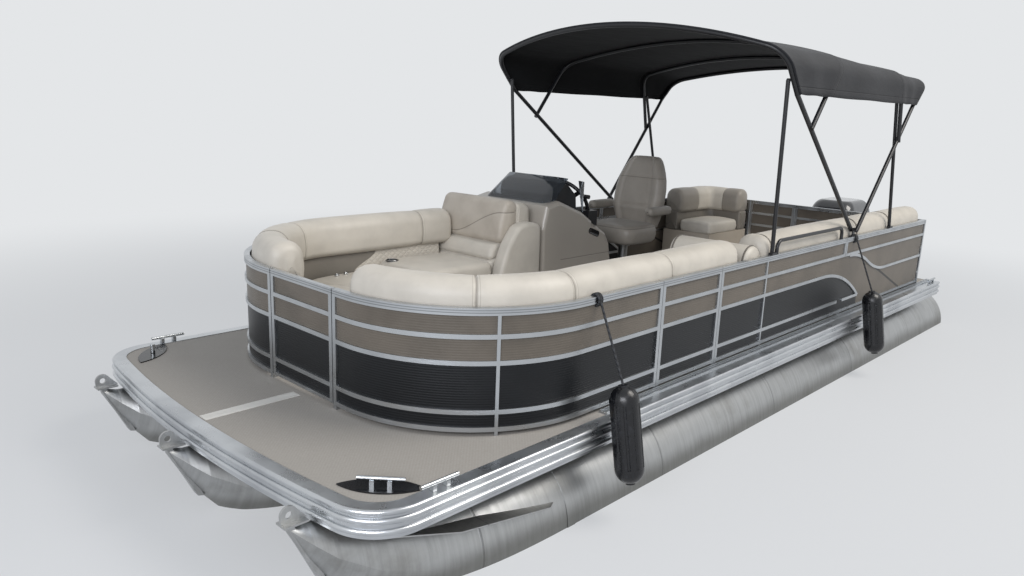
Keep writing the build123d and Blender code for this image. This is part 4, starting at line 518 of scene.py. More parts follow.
def fender_vinyl():
    """Blown fender vinyl, glossy, with chalky scuffs where it rubs."""
    material, add, place = blank_finish("fender vinyl")
    scuff = add("TexNoise", place, 1 / 0.03, 5.0, 0.7)
    colour = add("Mix", add("MapRange", scuff, 0.55, 0.75), "0D0E12", "22242A")
    shader = add("BsdfPrincipled", Base_Color=colour, Specular_IOR_Level=0.5,
                 Roughness=add("MapRange", scuff, 0.4, 0.75, 0.24, 0.45),
                 Normal=add("Bump", Height=scuff, Distance=0.001, Strength=0.2))
    add("OutputMaterial", shader)
    return material


def braided_line():
    """Braided line. Its strands are drawn 10 mm wide, because real ones of 3 mm don't show from here."""
    material, add, place = blank_finish("braided line")
    turns = add("TexWave", place, 38.0, 0.4, wave_type="BANDS", bands_direction="DIAGONAL").outputs["Fac"]
    shader = add("BsdfPrincipled", Base_Color=add("Mix", turns, "101113", "2E3034"), Roughness=0.7,
                 Normal=add("Bump", Height=turns, Distance=0.002, Strength=0.8))
    add("OutputMaterial", shader)
    return material


def canopy_cloth(name, face, shaded, roughness):
    """Solution-dyed acrylic cloth: plain weave, creased with painted shade, a sewn hem and stitching by each
    bow.
    """
    material, add, place = blank_finish(name)
    crease_relief_and_shade = add("TexNoise", add("Mapping", place, Scale=(0.35, 1.0, 1.0)), 1 / 0.14, 4.0, 0.6)
    weave = add("TexNoise", place, 1 / 0.004, 2.0)
    hem = line_at(add, add("SeparateXYZ", place).outputs["Z"], CANOPY_EDGE_Z + HEM_WIDTH, 0.0015, 0.005)
    bow = add("Attribute", attribute_name="bow").outputs["Fac"]
    stitch = add("maximum", hem, line_at(add, bow, SLEEVE_HALF, 0.0015, 0.005))
    # painted shade: the cloth turns to its shaded colour with the creased relief
    colour = add("Mix", add("MapRange", crease_relief_and_shade, 0.3, 0.75), face, shaded)
    colour = add("Mix", add("multiply", stitch, 0.6), colour, "131416")
    sunk = add("subtract", crease_relief_and_shade, add("multiply", stitch, 0.5))
    creased = add("Bump", Height=sunk, Distance=0.012, Strength=0.6)
    shader = add("BsdfPrincipled", Base_Color=colour, Roughness=roughness, Specular_IOR_Level=0.25,
                 Sheen_Weight=0.05, Sheen_Roughness=0.4,
                 Normal=add("Bump", Height=weave, Distance=0.0006, Strength=0.3, Normal=creased))
    add("OutputMaterial", shader)
    return material


def fitted_finishes():
    """Each finish with the nodes that have it. A new piece stands in the place of any other node."""
    return (
        (extruded_aluminium(), ("fence_port", "fence_starboard", "fence_stern", "bow_gate", "stern_gate",
                                "side_sills", "chair_bracket", "chair_pedestal")),
        (mill_aluminium(), ("tube_port", "tube_center", "tube_starboard", "tow_eyes", "risers",
                            "cross_members", "motor_pod")),
        (bright_rub_rail(), ("rub_rail",)),
        (woven_deck(), ("deck",)),
        (ribbed_sheet("black fence sheet", "131518", "0D0F12", 0.38), ("panels_black", "bow_gate_black")),
        (ribbed_sheet("tan fence sheet", "686158", "5A544C", 0.4, swoosh=True),
         ("panels_tan", "bow_gate_tan", "stern_gate_panels")),
        (moulded_plastic("seat base plastic", "B9B0A3", "A79E91", 0.5),
         ("bow_bases", "chaise_base", "aft_bases")),
        (moulded_console(), ("console",)),
        (moulded_plastic("black dash plastic", "17181A", "222326", 0.42),
         ("steering_column", "throttle", "steering_wheel")),
        (powder_coat("black frame coat", "121316", "1C1D21"),
         ("canopy_main_bows", "canopy_second_bows", "canopy_struts", "canopy_pivots", "grab_rail")),
        (fender_vinyl(), ("fenders",)),
        (braided_line(), ("fender_lines",)),
        (gloss_paint(), ("engine_cover",)),
        (powder_coat("motor leg paint", "1A1B1E", "242629", 0.34),
         ("midsection", "swivel_bracket", "clamp_bracket")),
        (cast_metal("propeller steel", "9A9C9E", "7B7D80", 0.25), ("propeller",)),
        (cast_metal("polished steel", "C9CCCE", "A4A7AA", 0.12), ("cleats",)),
        (cleat_plate(), ("corner_plates",)),
    )


# Cushion shapes


def rounded(corners, bulge=0.0, steps=7, pitch=0.03):
    """Closed outline through corners (u, v, radius), counterclockwise, its straight runs bowed outwards."""
    arcs = []
    count = len(corners)
    for index, (u, v, radius) in enumerate(corners):
        corner = Vector((u, v))
        back = (Vector(corners[index - 1][:2]) - corner).normalized()
        ahead = (Vector(corners[(index + 1) % count][:2]) - corner).normalized()
        half = math.acos(max(-1.0, min(1.0, back.dot(ahead)))) / 2
        centre = corner + (back + ahead).normalized() * radius / math.sin(half)
        first = corner + back * radius / math.tan(half) - centre
        last = corner + ahead * radius / math.tan(half) - centre
        turns = [first.lerp(last, step / steps).normalized() for step in range(steps + 1)]
        arcs.append([centre + turn * radius for turn in turns])
    points = []
    for index, arc in enumerate(arcs):
        points += arc
        run = arcs[(index + 1) % count][0] - arc[-1]
        out = Vector((run.y, -run.x)).normalized()
        parts = max(1, round(run.length / pitch))
        for part in range(1, parts):
            share = part / parts
            points.append(arc[-1] + run * share + out * bulge * math.sin(math.pi * share))
    return points


def drawn_in(points, depth):
    """The outline moved inwards by a depth, or outwards by a negative one."""
    moved = []
    count = len(points)
    for index, point in enumerate(points):
        along = points[(index + 1) % count] - points[index - 1]
        out = Vector((along.y, -along.x)).normalized()
        moved.append(point - out * depth)
    return moved

def bent_path(start, ahead, out, straight, radius, length):
    """A path at deck height that runs straight, turns round an arc away from its outward side, and runs on.

    It is its length, and a function that gives a place on it and the outward side there.
    """
    start, ahead, out = Vector(start), Vector(ahead), Vector(out)
    centre = start + ahead * straight - out * radius
    turn = radius * math.pi / 2

    def place(distance):
        if distance < straight:
            point, side = start + ahead * distance, out
        elif distance < straight + turn:
            angle = (distance - straight) / radius
            side = out * math.cos(angle) + ahead * math.sin(angle)
            point = centre + side * radius
        else:
            point, side = centre + ahead * radius - out * (distance - straight - turn), ahead
        return Vector((*point, DECK_Z)), Vector((*side, 0))

    return length, place


def fence_path(side, inset, end_x):
    """A path inside the fence from the bow gate, round the bow corner and aft; side is 1 for port."""
    radius = FENCE_CORNER - inset
    corner_x = FENCE_FRONT_X - FENCE_CORNER
    front = HALF_BEAM - FENCE_CORNER - GATE_EDGE_Y
    return bent_path((corner_x + radius, side * GATE_EDGE_Y), (0, side), (1, 0), front, radius,
                     front + radius * math.pi / 2 + corner_x - end_x)


def bench_path():
    """The bench's back from its forward end along the fence, round the corner and across the stern."""
    side_y, stern_x = BACK_INSET - HALF_BEAM, AFT_X + BENCH_BACK_HALF
    straight = BENCH_FRONT_X - stern_x - BENCH_BEND
    across = BENCH_INNER_Y - side_y - BENCH_BEND
    return bent_path((BENCH_FRONT_X, side_y), (-1, 0), (0, -1), straight, BENCH_BEND,
                     straight + BENCH_BEND * math.pi / 2 + across)


def straight_path(start, end, out):
    """A straight path at deck height, with a fixed outward side."""
    start, end = Vector((*start, DECK_Z)), Vector((*end, DECK_Z))
    length = (end - start).length
    return length, lambda distance: (start.lerp(end, distance / length), Vector((*out, 0)))


SEAM_STEPS = (-0.016, -0.009, -0.005, 0.0, 0.005, 0.009, 0.016)
SEAM_HALF = 0.006         # of the width over which a seam draws its cover in
ROUND_STEPS = 6
STATION_PITCH = 0.045
WELT_RADIUS = 0.006
WELT_SIDES = 8


def padded_rings(path, section, seams, rounding, crown, groove):
    """Rings of a stuffed cushion along a path, and how far each is from a seam."""
    length, place = path
    insets = {}
    for step in range(ROUND_STEPS + 1):
        angle = math.pi / 2 * step / ROUND_STEPS
        reach = rounding * (1 - math.cos(angle))
        insets[reach] = insets[length - reach] = rounding * (1 - math.sin(angle))
    count = max(2, round((length - 2 * rounding) / STATION_PITCH))
    for step in range(1, count):
        insets[rounding + (length - 2 * rounding) * step / count] = 0.0
    for seam in seams:
        for offset in SEAM_STEPS:
            insets[seam + offset] = 0.0
    edges = [0.0, *sorted(seams), length]
    rings, gaps = [], []
    for distance in sorted(insets):
        gap = min([abs(distance - seam) for seam in seams], default=1.0)
        low = max(edge for edge in edges if edge <= distance + 1e-9)
        high = min([edge for edge in edges if edge > distance], default=length)
        share = (distance - low) / max(high - low, 1e-6)
        swell = crown * math.sin(math.pi * min(max(share, 0.0), 1.0)) ** 0.5
        inset = insets[distance] + groove * math.exp(-(gap / SEAM_HALF) ** 2) - swell
        rings.append(section_ring(path, section, distance, -inset))
        gaps.append(gap)
    return rings, gaps


def section_ring(path, section, distance, proud=0.0):
    """The section's outline at a distance along a path, as far outside the section as proud says."""
    point, out = path[1](distance)
    return [point + out * u + Vector((0, 0, v)) for u, v in drawn_in(section, -proud)]


def capped(rings, gaps, swell, cover=0):
    """A closed skin: rings whose ends are closed by smaller rings that swell outwards, and their cover."""
    for ring, inner, gap, place in ((rings[0], rings[1], gaps[0], 0), (rings[-1], rings[-2], gaps[-1], None)):
        centre = middle_of(ring)
        out = (centre - middle_of(inner)).normalized()
        for share in (0.75, 0.5, 0.25, 0.02):
            rise = out * swell * (1 - share ** 2)
            at = len(rings) if place is None else place
            rings.insert(at, [centre + (point - centre) * share + rise for point in ring])
            gaps.insert(at, gap)
    return rings, gaps, cover


def stuffed(path, section, seams=(), rounding=0.03, crown=0.004, groove=0.004, swell=0.006, cover=0):
    """A cushion's closed skin along a path. It swells by crown between seams, and by swell at its ends."""
    return capped(*padded_rings(path, section, seams, rounding, crown, groove), swell, cover)


def back_skins(sizes, path, low_path, seams, rounding, low_cover=1):
    """The two skins of a long back: its roll, and the plain lower part that is set back under it."""
    return [stuffed(path, rounded(*BACK_ROLL), seams, rounding, sizes.crown, sizes.groove, swell=0.012),
            stuffed(low_path, rounded(*BACK_LOWER), rounding=0.02, crown=0.003, swell=0.004, cover=low_cover)]


def middle_of(points):
    """The mean of some points."""
    return sum(points, Vector()) / len(points)


def sewn_piece(name, shape, materials):
    """A smooth piece with its faces outwards, from a filled mesh."""
    mesh = bpy.data.meshes.new(name)
    piece = bpy.data.objects.new(name, mesh)
    bpy.context.scene.collection.objects.link(piece)
    bmesh.ops.recalc_face_normals(shape, faces=shape.faces[:])
    for face in shape.faces:
        face.smooth = True
    shape.to_mesh(mesh)
    shape.free()
    for material in materials:
        mesh.materials.append(material)
    return piece


def join_rows(shape, rows, covers):
    """Faces round a skin from each row of points to the next, each row with its cover."""
    for low, high, cover in zip(rows, rows[1:], covers):
        for k in range(len(low)):
            near = (k + 1) % len(low)
            shape.faces.new((low[k], low[near], high[near], high[k])).material_index = cover


def cushion(name, skins, covers, body, node_name):
    """Makes a cushion of several closed skins on its body, in place of its plain solid.

    A skin is its rings, how far each is from a seam, and the index of its cover, or one index for each ring.
    """
    shape = bmesh.new()
    seam = shape.verts.layers.float.new("seam")
    for rings, gaps, index in skins:
        rows = [[shape.verts.new(point) for point in ring] for ring in rings]
        for row, gap in zip(rows, gaps):
            for vert in row:
                vert[seam] = gap
        indices = [index] * len(rows) if isinstance(index, int) else index
        join_rows(shape, rows, indices)
        for row, end_index in ((rows[0], indices[0]), (rows[-1], indices[-1])):
            shape.faces.new(row).material_index = end_index
    piece = sewn_piece(name, shape, covers)
    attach(piece, body)
    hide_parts(node_name)


def welts(name, lines, material):
    """Makes the welts that run round closed lines of points, on the hull."""
    shape = bmesh.new()
    for line in lines:
        middle = middle_of(line)
        rows = []
        for index, point in enumerate(line):
            along = (line[(index + 1) % len(line)] - line[index - 1]).normalized()
            out = point - middle
            out = (out - along * out.dot(along)).normalized()
            up = along.cross(out)
            rows.append([shape.verts.new(point + (out * math.cos(a) + up * math.sin(a)) * WELT_RADIUS)
                         for a in (2 * math.pi * k / WELT_SIDES for k in range(WELT_SIDES))])
        join_rows(shape, rows + rows[:1], [0] * len(rows))
    piece = sewn_piece(name, shape, [material])
    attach(piece, "hull")


# Outlines across the cushions: their corners, and how far their straight runs bow outwards.
# columns of the corners: outward place, height above the deck, corner radius
BACK_ROLL = (((-0.098, 0.474, 0.045), (0.098, 0.474, 0.02), (0.104, 0.706, 0.085),
              (-0.092, 0.708, 0.085)), 0.006)
BACK_LOWER = (((-0.060, 0.292, 0.012), (0.085, 0.292, 0.012), (0.085, 0.482, 0.012),
               (-0.052, 0.482, 0.012)), 0.004)
BOW_SEAT = (((-0.255, 0.292, 0.02), (0.255, 0.292, 0.01), (0.255, 0.402, 0.02),
             (-0.257, 0.404, 0.038)), 0.007)
BOW_LOW_SEAT = (tuple((u, v if v < 0.3 else v - 0.056, r * 0.6) for u, v, r in BOW_SEAT[0]), 0.006)
AFT_STUB = (((-0.29, 0.292, 0.02), (0.28, 0.292, 0.02), (0.28, 0.452, 0.03),
             (-0.29, 0.452, 0.03)), 0.006)
AFT_SEAT = (((-0.19, 0.292, 0.02), (0.19, 0.292, 0.01), (0.19, 0.402, 0.02),
             (-0.192, 0.404, 0.038)), 0.007)
BENCH_SEAT = (((-0.172, 0.292, 0.02), (0.168, 0.292, 0.02), (0.168, 0.403, 0.035),
               (-0.172, 0.403, 0.02)), 0.008)
CHAIR_ARM = (((-0.0385, 0.600, 0.026), (0.0385, 0.600, 0.026), (0.0385, 0.668, 0.030),
              (-0.0385, 0.668, 0.030)), 0.003)
CHAIR_ARM_STUB = (((-0.02, 0.612, 0.008), (0.02, 0.612, 0.008), (0.02, 0.652, 0.008),
                   (-0.02, 0.652, 0.008)), 0.0)

# Side view of the chaise's backrest: the upper pad, the lumbar pad and the block behind them.
# columns: x behind the foot of the backrest, height above the deck, corner radius
CHAISE_UPPER = ((-0.265, 0.535, 0.03), (-0.085, 0.505, 0.045), (-0.165, 0.815, 0.055), (-0.275, 0.815, 0.055))
CHAISE_LUMBAR = ((-0.25, 0.402, 0.02), (-0.01, 0.402, 0.03), (-0.072, 0.512, 0.035), (-0.25, 0.530, 0.02))
CHAISE_BLOCK = ((-0.415, 0.292, 0.02), (-0.02, 0.292, 0.02), (-0.022, 0.398, 0.02), (-0.24, 0.470, 0.04),
                (-0.262, 0.800, 0.035), (-0.405, 0.775, 0.05))
BOLSTER_SIDE = ((-0.412, 0.006, 0.02), (-0.045, 0.006, 0.03), (-0.012, 0.300, 0.05), (-0.092, 0.520, 0.07),
                (-0.190, 0.645, 0.05), (-0.270, 0.664, 0.05), (-0.412, 0.650, 0.05))

# Helm chair. Its sections are level. columns: height above the deck, x from the pedestal, depth, width
CHAIR_BACK = ((0.466, -0.185, 0.110, 0.400), (0.540, -0.182, 0.122, 0.455), (0.620, -0.178, 0.130, 0.500),
              (0.710, -0.190, 0.128, 0.510), (0.800, -0.205, 0.122, 0.505), (0.880, -0.221, 0.116, 0.475),
              (0.940, -0.235, 0.110, 0.430), (1.000, -0.249, 0.102, 0.375), (1.040, -0.258, 0.090, 0.330),
              (1.066, -0.264, 0.066, 0.285), (1.076, -0.266, 0.040, 0.240))
CHAIR_SEAMS = (0.655, 0.895)
CHAIR_SEAT = ((0.349, 0.425, 0.455), (0.375, 0.462, 0.495), (0.418, 0.480, 0.512), (0.455, 0.474, 0.506),
              (0.485, 0.452, 0.484), (0.503, 0.420, 0.452), (0.510, 0.385, 0.415))
CHAIR_SEAT_SEAM = 0.485
CHAIR_PLACE = (-0.96, -0.69)
CHAIR_SEAT_X = 0.04       # of the seat's middle, from the pedestal
CHAIR_LOBE = 0.40         # of the back's width, from its middle to the middle of a side bolster
CHAIR_CUT = 0.29          # of the back's width, from its middle to a lengthwise seam
CHAIR_ARM_REACH = 0.3065  # from the pedestal to the middle of an arm
CHAIR_ARM_ENDS = (0.11, -0.215)
CHAIR_STUB_X = -0.185     # of the stub that joins an arm to the back
CHAIR_STUB_ENDS = (0.225, 0.275)


def squarish(depth, width, power=4.0, steps=72):
    """Closed outline between an ellipse and a rectangle, for a stuffed section."""
    points = []
    for index in range(steps):
        angle = 2 * math.pi * index / steps
        c, s = math.cos(angle), math.sin(angle)
        points.append(Vector((math.copysign(abs(c) ** (2 / power), c) * depth / 2,
                              math.copysign(abs(s) ** (2 / power), s) * width / 2)))
    return points


def chair_back_rings():
    """Level rings of the chair's back, with side bolsters, lengthwise seams and two cross seams."""
    rows = []
    for low, high in zip(CHAIR_BACK, CHAIR_BACK[1:]):
        parts = max(2, round((high[0] - low[0]) / 0.014))
        for part in range(parts):
            rows.append([a + (b - a) * part / parts for a, b in zip(low, high)])
    rows.append(list(CHAIR_BACK[-1]))
    rings, marks = [], []
    for height, x, depth, width in rows:
        gap = min(abs(height - seam) for seam in CHAIR_SEAMS)
        groove = 0.008 * math.exp(-(gap / 0.007) ** 2)
        ring = []
        for point in squarish(depth, width):
            front = max(0.0, point.x / depth * 2)
            across = abs(point.y) / width
            lobe = 0.022 * math.exp(-((across - CHAIR_LOBE) / 0.08) ** 2)
            cut = 0.010 * math.exp(-((across - CHAIR_CUT) / 0.012) ** 2)
            middle = 1.0 if across < CHAIR_CUT else 0.0
            push = front * (lobe - cut - groove * middle + 0.006 * math.cos(across * math.pi))
            ring.append(Vector((CHAIR_PLACE[0] + x + point.x - 0.008 + push, CHAIR_PLACE[1] + point.y,
                                DECK_Z + height)))
        rings.append(ring)
        marks.append(gap)
    return rings, marks


def chair_seat_rings():
    """Level rings of the chair's seat, crowned and closed above."""
    rings, marks = [], []
    for height, length, width in CHAIR_SEAT:
        rings.append([Vector((CHAIR_PLACE[0] + CHAIR_SEAT_X + p.x, CHAIR_PLACE[1] + p.y, DECK_Z + height))
                      for p in squarish(length, width, 5.0)])
        marks.append(abs(height - CHAIR_SEAT_SEAM))
    return rings, marks


def canopy_outline(rise):
    """Points over one bow from the port edge to the starboard one, in the bow's plane."""
    shoulder = CANOPY_SHOULDER * CANOPY_HALF
    drop = CANOPY_CROWN_DROP * rise
    arch = (shoulder ** 2 + drop ** 2) / (2 * drop)
    corner = CANOPY_CORNER * rise
    centre = rise - arch
    corner_y = CANOPY_HALF - corner
    corner_v = centre + math.sqrt((arch - corner) ** 2 - corner_y ** 2)
    lean = math.atan2(corner_y, corner_v - centre)
    points = [Vector((CANOPY_HALF, corner_v * step / 5)) for step in range(5)]
    for step in range(10):
        angle = math.pi / 2 - (math.pi / 2 - lean) * step / 10
        points.append(Vector((corner_y + corner * math.sin(angle), corner_v + corner * math.cos(angle))))
    for step in range(25):
        angle = lean * (1 - step / 24)
        points.append(Vector((arch * math.sin(angle), centre + arch * math.cos(angle))))
    return points + [Vector((-point.x, point.y)) for point in reversed(points[:-1])]


def canopy_rows(sag):
    """Rows of points across the canopy from the bow aft, taut over its bows and sunk a little between."""
    bows = []
    for x, lean, rise in CANOPY_BOWS:
        turn = math.radians(lean)
        bows.append([Vector((x + p.y * math.sin(turn), p.x, CANOPY_EDGE_Z + p.y * math.cos(turn)))
                     for p in canopy_outline(rise)])
    rows, gaps = [], []
    for index, (near, far) in enumerate(zip(bows, bows[1:])):
        span = (far[len(far) // 2] - near[len(near) // 2]).length
        close = [reach / span for reach in (0.0, 0.030, 0.035, 0.040)]
        inner = [close[-1] + (1 - 2 * close[-1]) * step / 12 for step in range(1, 12)]
        shares = close + inner + [1 - share for share in reversed(close)]
        if index < len(bows) - 2:
            shares = shares[:-1]
        for share in shares:
            dip = sag * math.sin(math.pi * share) ** 0.7
            row = []
            for k, (a, b) in enumerate(zip(near, far)):
                point = a.lerp(b, share)
                low = min(1.0, max(0.0, (point.z - CANOPY_EDGE_Z) / 0.08))
                pull = canopy_folds(share, k, len(near))
                row.append(point + inward(point) * (dip * (0.35 + 0.65 * low) + pull))
            rows.append(row)
            gaps.append(min(share, 1 - share) * span)
    return rows, gaps


def inward(point):
    """The way in from a place on the canopy, towards a line under its middle."""
    return Vector((0, -point.y, CANOPY_EDGE_Z - FOLD_DROP - point.z)).normalized()


def canopy_folds(share, index, count):
    """Depth of the folds that run from a bow's foot up into the cloth, strongest near the side edges."""
    across = min(index, count - 1 - index) / (count / 2)
    edge = math.exp(-(across / 0.35) ** 2)
    ends = math.sin(math.pi * share)
    return 0.005 * edge * ends * math.sin(3.0 * share * math.pi + 5.0 * across)


def flap(row, run):
    """A row turned in under the end of the cloth, as far along the boat as run says."""
    return [point + inward(point) * FLAP_DEPTH + Vector((run, 0, 0)) for point in row]


# Settings that a user would change


class BoatCushions(bpy.types.PropertyGroup):
    """Sizes and colours of the cushions."""

    crown: FloatProperty(name="Crown", description="How far a cover swells between its seams",
                         default=0.006, unit="LENGTH")
    groove: FloatProperty(name="Groove", description="How deep a seam is drawn in", default=0.005,
                          unit="LENGTH")
    rounding: FloatProperty(name="End rounding", description="Radius at a back roll's ends", default=0.06,
                            unit="LENGTH")
    cream: FloatVectorProperty(name="Cream", description="Colour of the main covers", subtype="COLOR",
                               default=linear("C4BEB3")[:3])
    taupe: FloatVectorProperty(name="Taupe", description="Colour of the accents", subtype="COLOR",
                               default=linear("78736B")[:3])
    greige: FloatVectorProperty(name="Greige", description="Colour of the helm chair", subtype="COLOR",
                                default=linear("938D84")[:3])


class BoatCanopy(bpy.types.PropertyGroup):
    """Sizes of the canopy's cloth."""

    sag: FloatProperty(name="Sag", description="How far the cloth sinks between two bows", default=0.012,
                       unit="LENGTH")
    thickness: FloatProperty(name="Thickness", description="Thickness of the cloth", default=0.0015,
                             unit="LENGTH")


class BoatStage(bpy.types.PropertyGroup):
    """Floor and lamps."""

    floor: FloatProperty(name="Floor", description="Side of the square floor", default=60.0, unit="LENGTH")
    key: FloatProperty(name="Key lamp", description="Power of the key lamp in watts", default=640.0)
    fill: FloatProperty(name="Fill lamp", description="Power of the fill lamp in watts", default=560.0)


def vinyl_set():
    """The vinyl covers in use, made once."""
    sizes = bpy.context.scene.boat_cushions
    covers = {"cream": sizes.cream, "taupe": sizes.taupe, "greige": sizes.greige, "quilted": sizes.taupe}
    for key, colour in covers.items():
        if key + " vinyl" not in bpy.data.materials:
            # painted shade: a darker copy of each cover's colour, which the folds blend in
            shaded = [value * 0.86 for value in colour]
            marine_vinyl(key + " vinyl", [*colour, 1.0], [*shaded, 1.0], key == "quilted")
    return {key: bpy.data.materials[key + " vinyl"] for key in covers}


class BOAT_OT_fitted_finishes(bpy.types.Operator):
    """Finish the hull, fence, console, frame and motor"""

    bl_idname = "boat.fitted_finishes"
    bl_label = "Fitted finishes"

    def execute(self, context):
        for material, names in fitted_finishes():
            for name in names:
                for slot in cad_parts[name].material_slots:
                    slot.material = material
        return {"FINISHED"}


class BOAT_OT_bow_lounges(bpy.types.Operator):
    """Make the backrests and seats that follow the bow fence"""

    bl_idname = "boat.bow_lounges"
    bl_label = "Bow lounges"

    def execute(self, context):
        sizes = context.scene.boat_cushions
        covers = vinyl_set()
        for name, side, end_x, low_end_x, seams, accent in (
                ("port", 1, PORT_END_X, PORT_END_X, PORT_SEAMS, "taupe"),
                ("starboard", -1, CHAISE_FRONT_X - ROLL_OVERLAP, CHAISE_FRONT_X, STARBOARD_SEAMS, "quilted")):
            path = fence_path(side, BACK_INSET, end_x)
            skins = back_skins(sizes, path, fence_path(side, BACK_INSET, low_end_x), seams, sizes.rounding)
            cushion("bow_back_" + name, skins, [covers["cream"], covers[accent]], "hull", "bow_backs")
        welts("bow_back_welt", [section_ring(path, rounded(*BACK_ROLL), seams[0], -0.004)], covers["taupe"])
        chaise_y = SEAT_INSET - HALF_BEAM
        for name, path, section, seams in (
                ("port", fence_path(1, SEAT_INSET, PORT_END_X), BOW_SEAT, (0.95, 1.9)),
                ("starboard", fence_path(-1, SEAT_INSET, LOW_SEAT_END_X + LOW_SEAT_GAP),
                 BOW_LOW_SEAT, (0.36,)),
                ("chaise", straight_path((LOW_SEAT_END_X, chaise_y), (CHAISE_FRONT_X, chaise_y), (0, -1)),
                 BOW_SEAT, ())):
            skin = stuffed(path, rounded(*section), seams, crown=sizes.crown, groove=sizes.groove)
            cushion("seat_" + name, [skin], [covers["cream"]], "hull", "bow_seats")
        return {"FINISHED"}


class BOAT_OT_chaise(bpy.types.Operator):
    """Make the chaise's backrest in front of the console and the bolster beside it"""

    bl_idname = "boat.chaise"
    bl_label = "Chaise"

    def execute(self, context):
        cream = vinyl_set()["cream"]
        pad = chaise_vinyl("B7AFA3", "A89F93")
        bolster_y = CHAISE_INNER_Y - BOLSTER_WIDTH
        side_y = bolster_y - CHAISE_GAP
        skins = []
        for outline, inset, cover in ((CHAISE_UPPER, 0.0, 1), (CHAISE_LUMBAR, 0.015, 0),
                                      (CHAISE_BLOCK, 0.0, 0)):
            path = straight_path((CHAISE_FRONT_X, side_y - inset),
                                 (CHAISE_FRONT_X, side_y - CHAISE_WIDTH + inset), (1, 0))
            skins.append(stuffed(path, rounded(outline, 0.008), rounding=0.035, swell=0.008, cover=cover))
        cushion("chaise_backrest", skins, [cream, pad], "hull", "chaise_back")
        path = straight_path((CHAISE_FRONT_X, CHAISE_INNER_Y), (CHAISE_FRONT_X, bolster_y), (1, 0))
        skin = stuffed(path, rounded(BOLSTER_SIDE, 0.004), rounding=0.028, crown=0.006, swell=0.010)
        cushion("chaise_side_bolster", [skin], [cream], "hull", "chaise_bolster")
        return {"FINISHED"}


class BOAT_OT_aft_lounges(bpy.types.Operator):
    """Make the port aft lounge, its roll bolster and the starboard bench"""

    bl_idname = "boat.aft_lounges"
    bl_label = "Aft lounges"

    def execute(self, context):
        sizes = context.scene.boat_cushions
        covers = vinyl_set()
        back_y = HALF_BEAM - BACK_INSET
        path = straight_path((AFT_ROLL_FRONT_X, back_y), (AFT_X, back_y), (0, 1))
        lines = [section_ring(path, rounded(*BACK_ROLL), seam + step, -0.003)
                 for seam in AFT_SEAMS for step in (-0.011, 0.011)]
        welts("aft_back_welts", lines, covers["taupe"])
        front_x, stub_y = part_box("aft_backs")[1].x, back_y - AFT_STUB_INSET
        stub_path = straight_path((front_x, stub_y), (front_x - AFT_STUB_LENGTH, stub_y), (0, 1))
        skins = back_skins(sizes, path, path, AFT_SEAMS, sizes.rounding)
        skins.append(stuffed(stub_path, rounded(*AFT_STUB), cover=1))
        cushion("aft_back_port", skins, [covers["cream"], covers["taupe"]], "hull", "aft_backs")
        path = straight_path((AFT_SEAT_END_X, AFT_SEAT_Y), (AFT_X, AFT_SEAT_Y), (0, 1))
        skin = stuffed(path, rounded(*AFT_SEAT), AFT_SEAT_SEAMS, crown=sizes.crown, groove=sizes.groove)
        cushion("aft_seat_port", [skin], [covers["cream"]], "hull", "aft_seats")
        self.roll(covers)
        self.bench(sizes, covers)
        return {"FINISHED"}

    def roll(self, covers):
        """The round bolster at the lounge's forward end, with a welt round each end."""
        low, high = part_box("roll_bolster")
        radius = (high.x - low.x) / 2
        angles = [2 * math.pi * step / 40 for step in range(40)]
        lift = Vector((0, low.z + radius - DECK_Z))
        ring = [Vector((math.cos(a) * radius, math.sin(a) * radius)) + lift for a in angles]
        path = straight_path((low.x + radius, low.y), (low.x + radius, high.y), (1, 0))
        cushion("aft_roll", [stuffed(path, ring, crown=0.0, swell=0.012)], [covers["cream"]],
                "hull", "roll_bolster")
        lines = [section_ring(path, ring, distance) for distance in (0.03, path[0] - 0.03)]
        welts("aft_roll_welts", lines, covers["taupe"])

    def bench(self, sizes, covers):
        """The starboard bench: a seat, and a back in three colours along the fence and across the stern."""
        path = bench_path()
        skins = back_skins(sizes, path, path, BENCH_SEAMS, 0.045, low_cover=2)
        rings, gaps, _ = skins[0]
        fore, aft = (middle_of(section_ring(path, rounded(*BACK_ROLL), seam)) for seam in BENCH_SEAMS)
        corner = [middle.x < fore.x + 0.001 and middle.y < aft.y - 0.001 for middle in map(middle_of, rings)]
        skins[0] = (rings, gaps, [0 if inside else 1 for inside in corner])
        cushion("bench_back", skins, [covers["cream"], covers["greige"], covers["taupe"]],
                "hull", "aft_backs")
        seat_y = (BACK_INSET - HALF_BEAM + BENCH_BACK_HALF + BENCH_INNER_Y) / 2
        path = straight_path((BENCH_FRONT_X, seat_y), (AFT_X + 2 * BENCH_BACK_HALF, seat_y), (0, 1))
        skin = stuffed(path, rounded(*BENCH_SEAT), crown=sizes.crown)
        cushion("bench_seat", [skin], [covers["cream"]], "hull", "aft_seats")


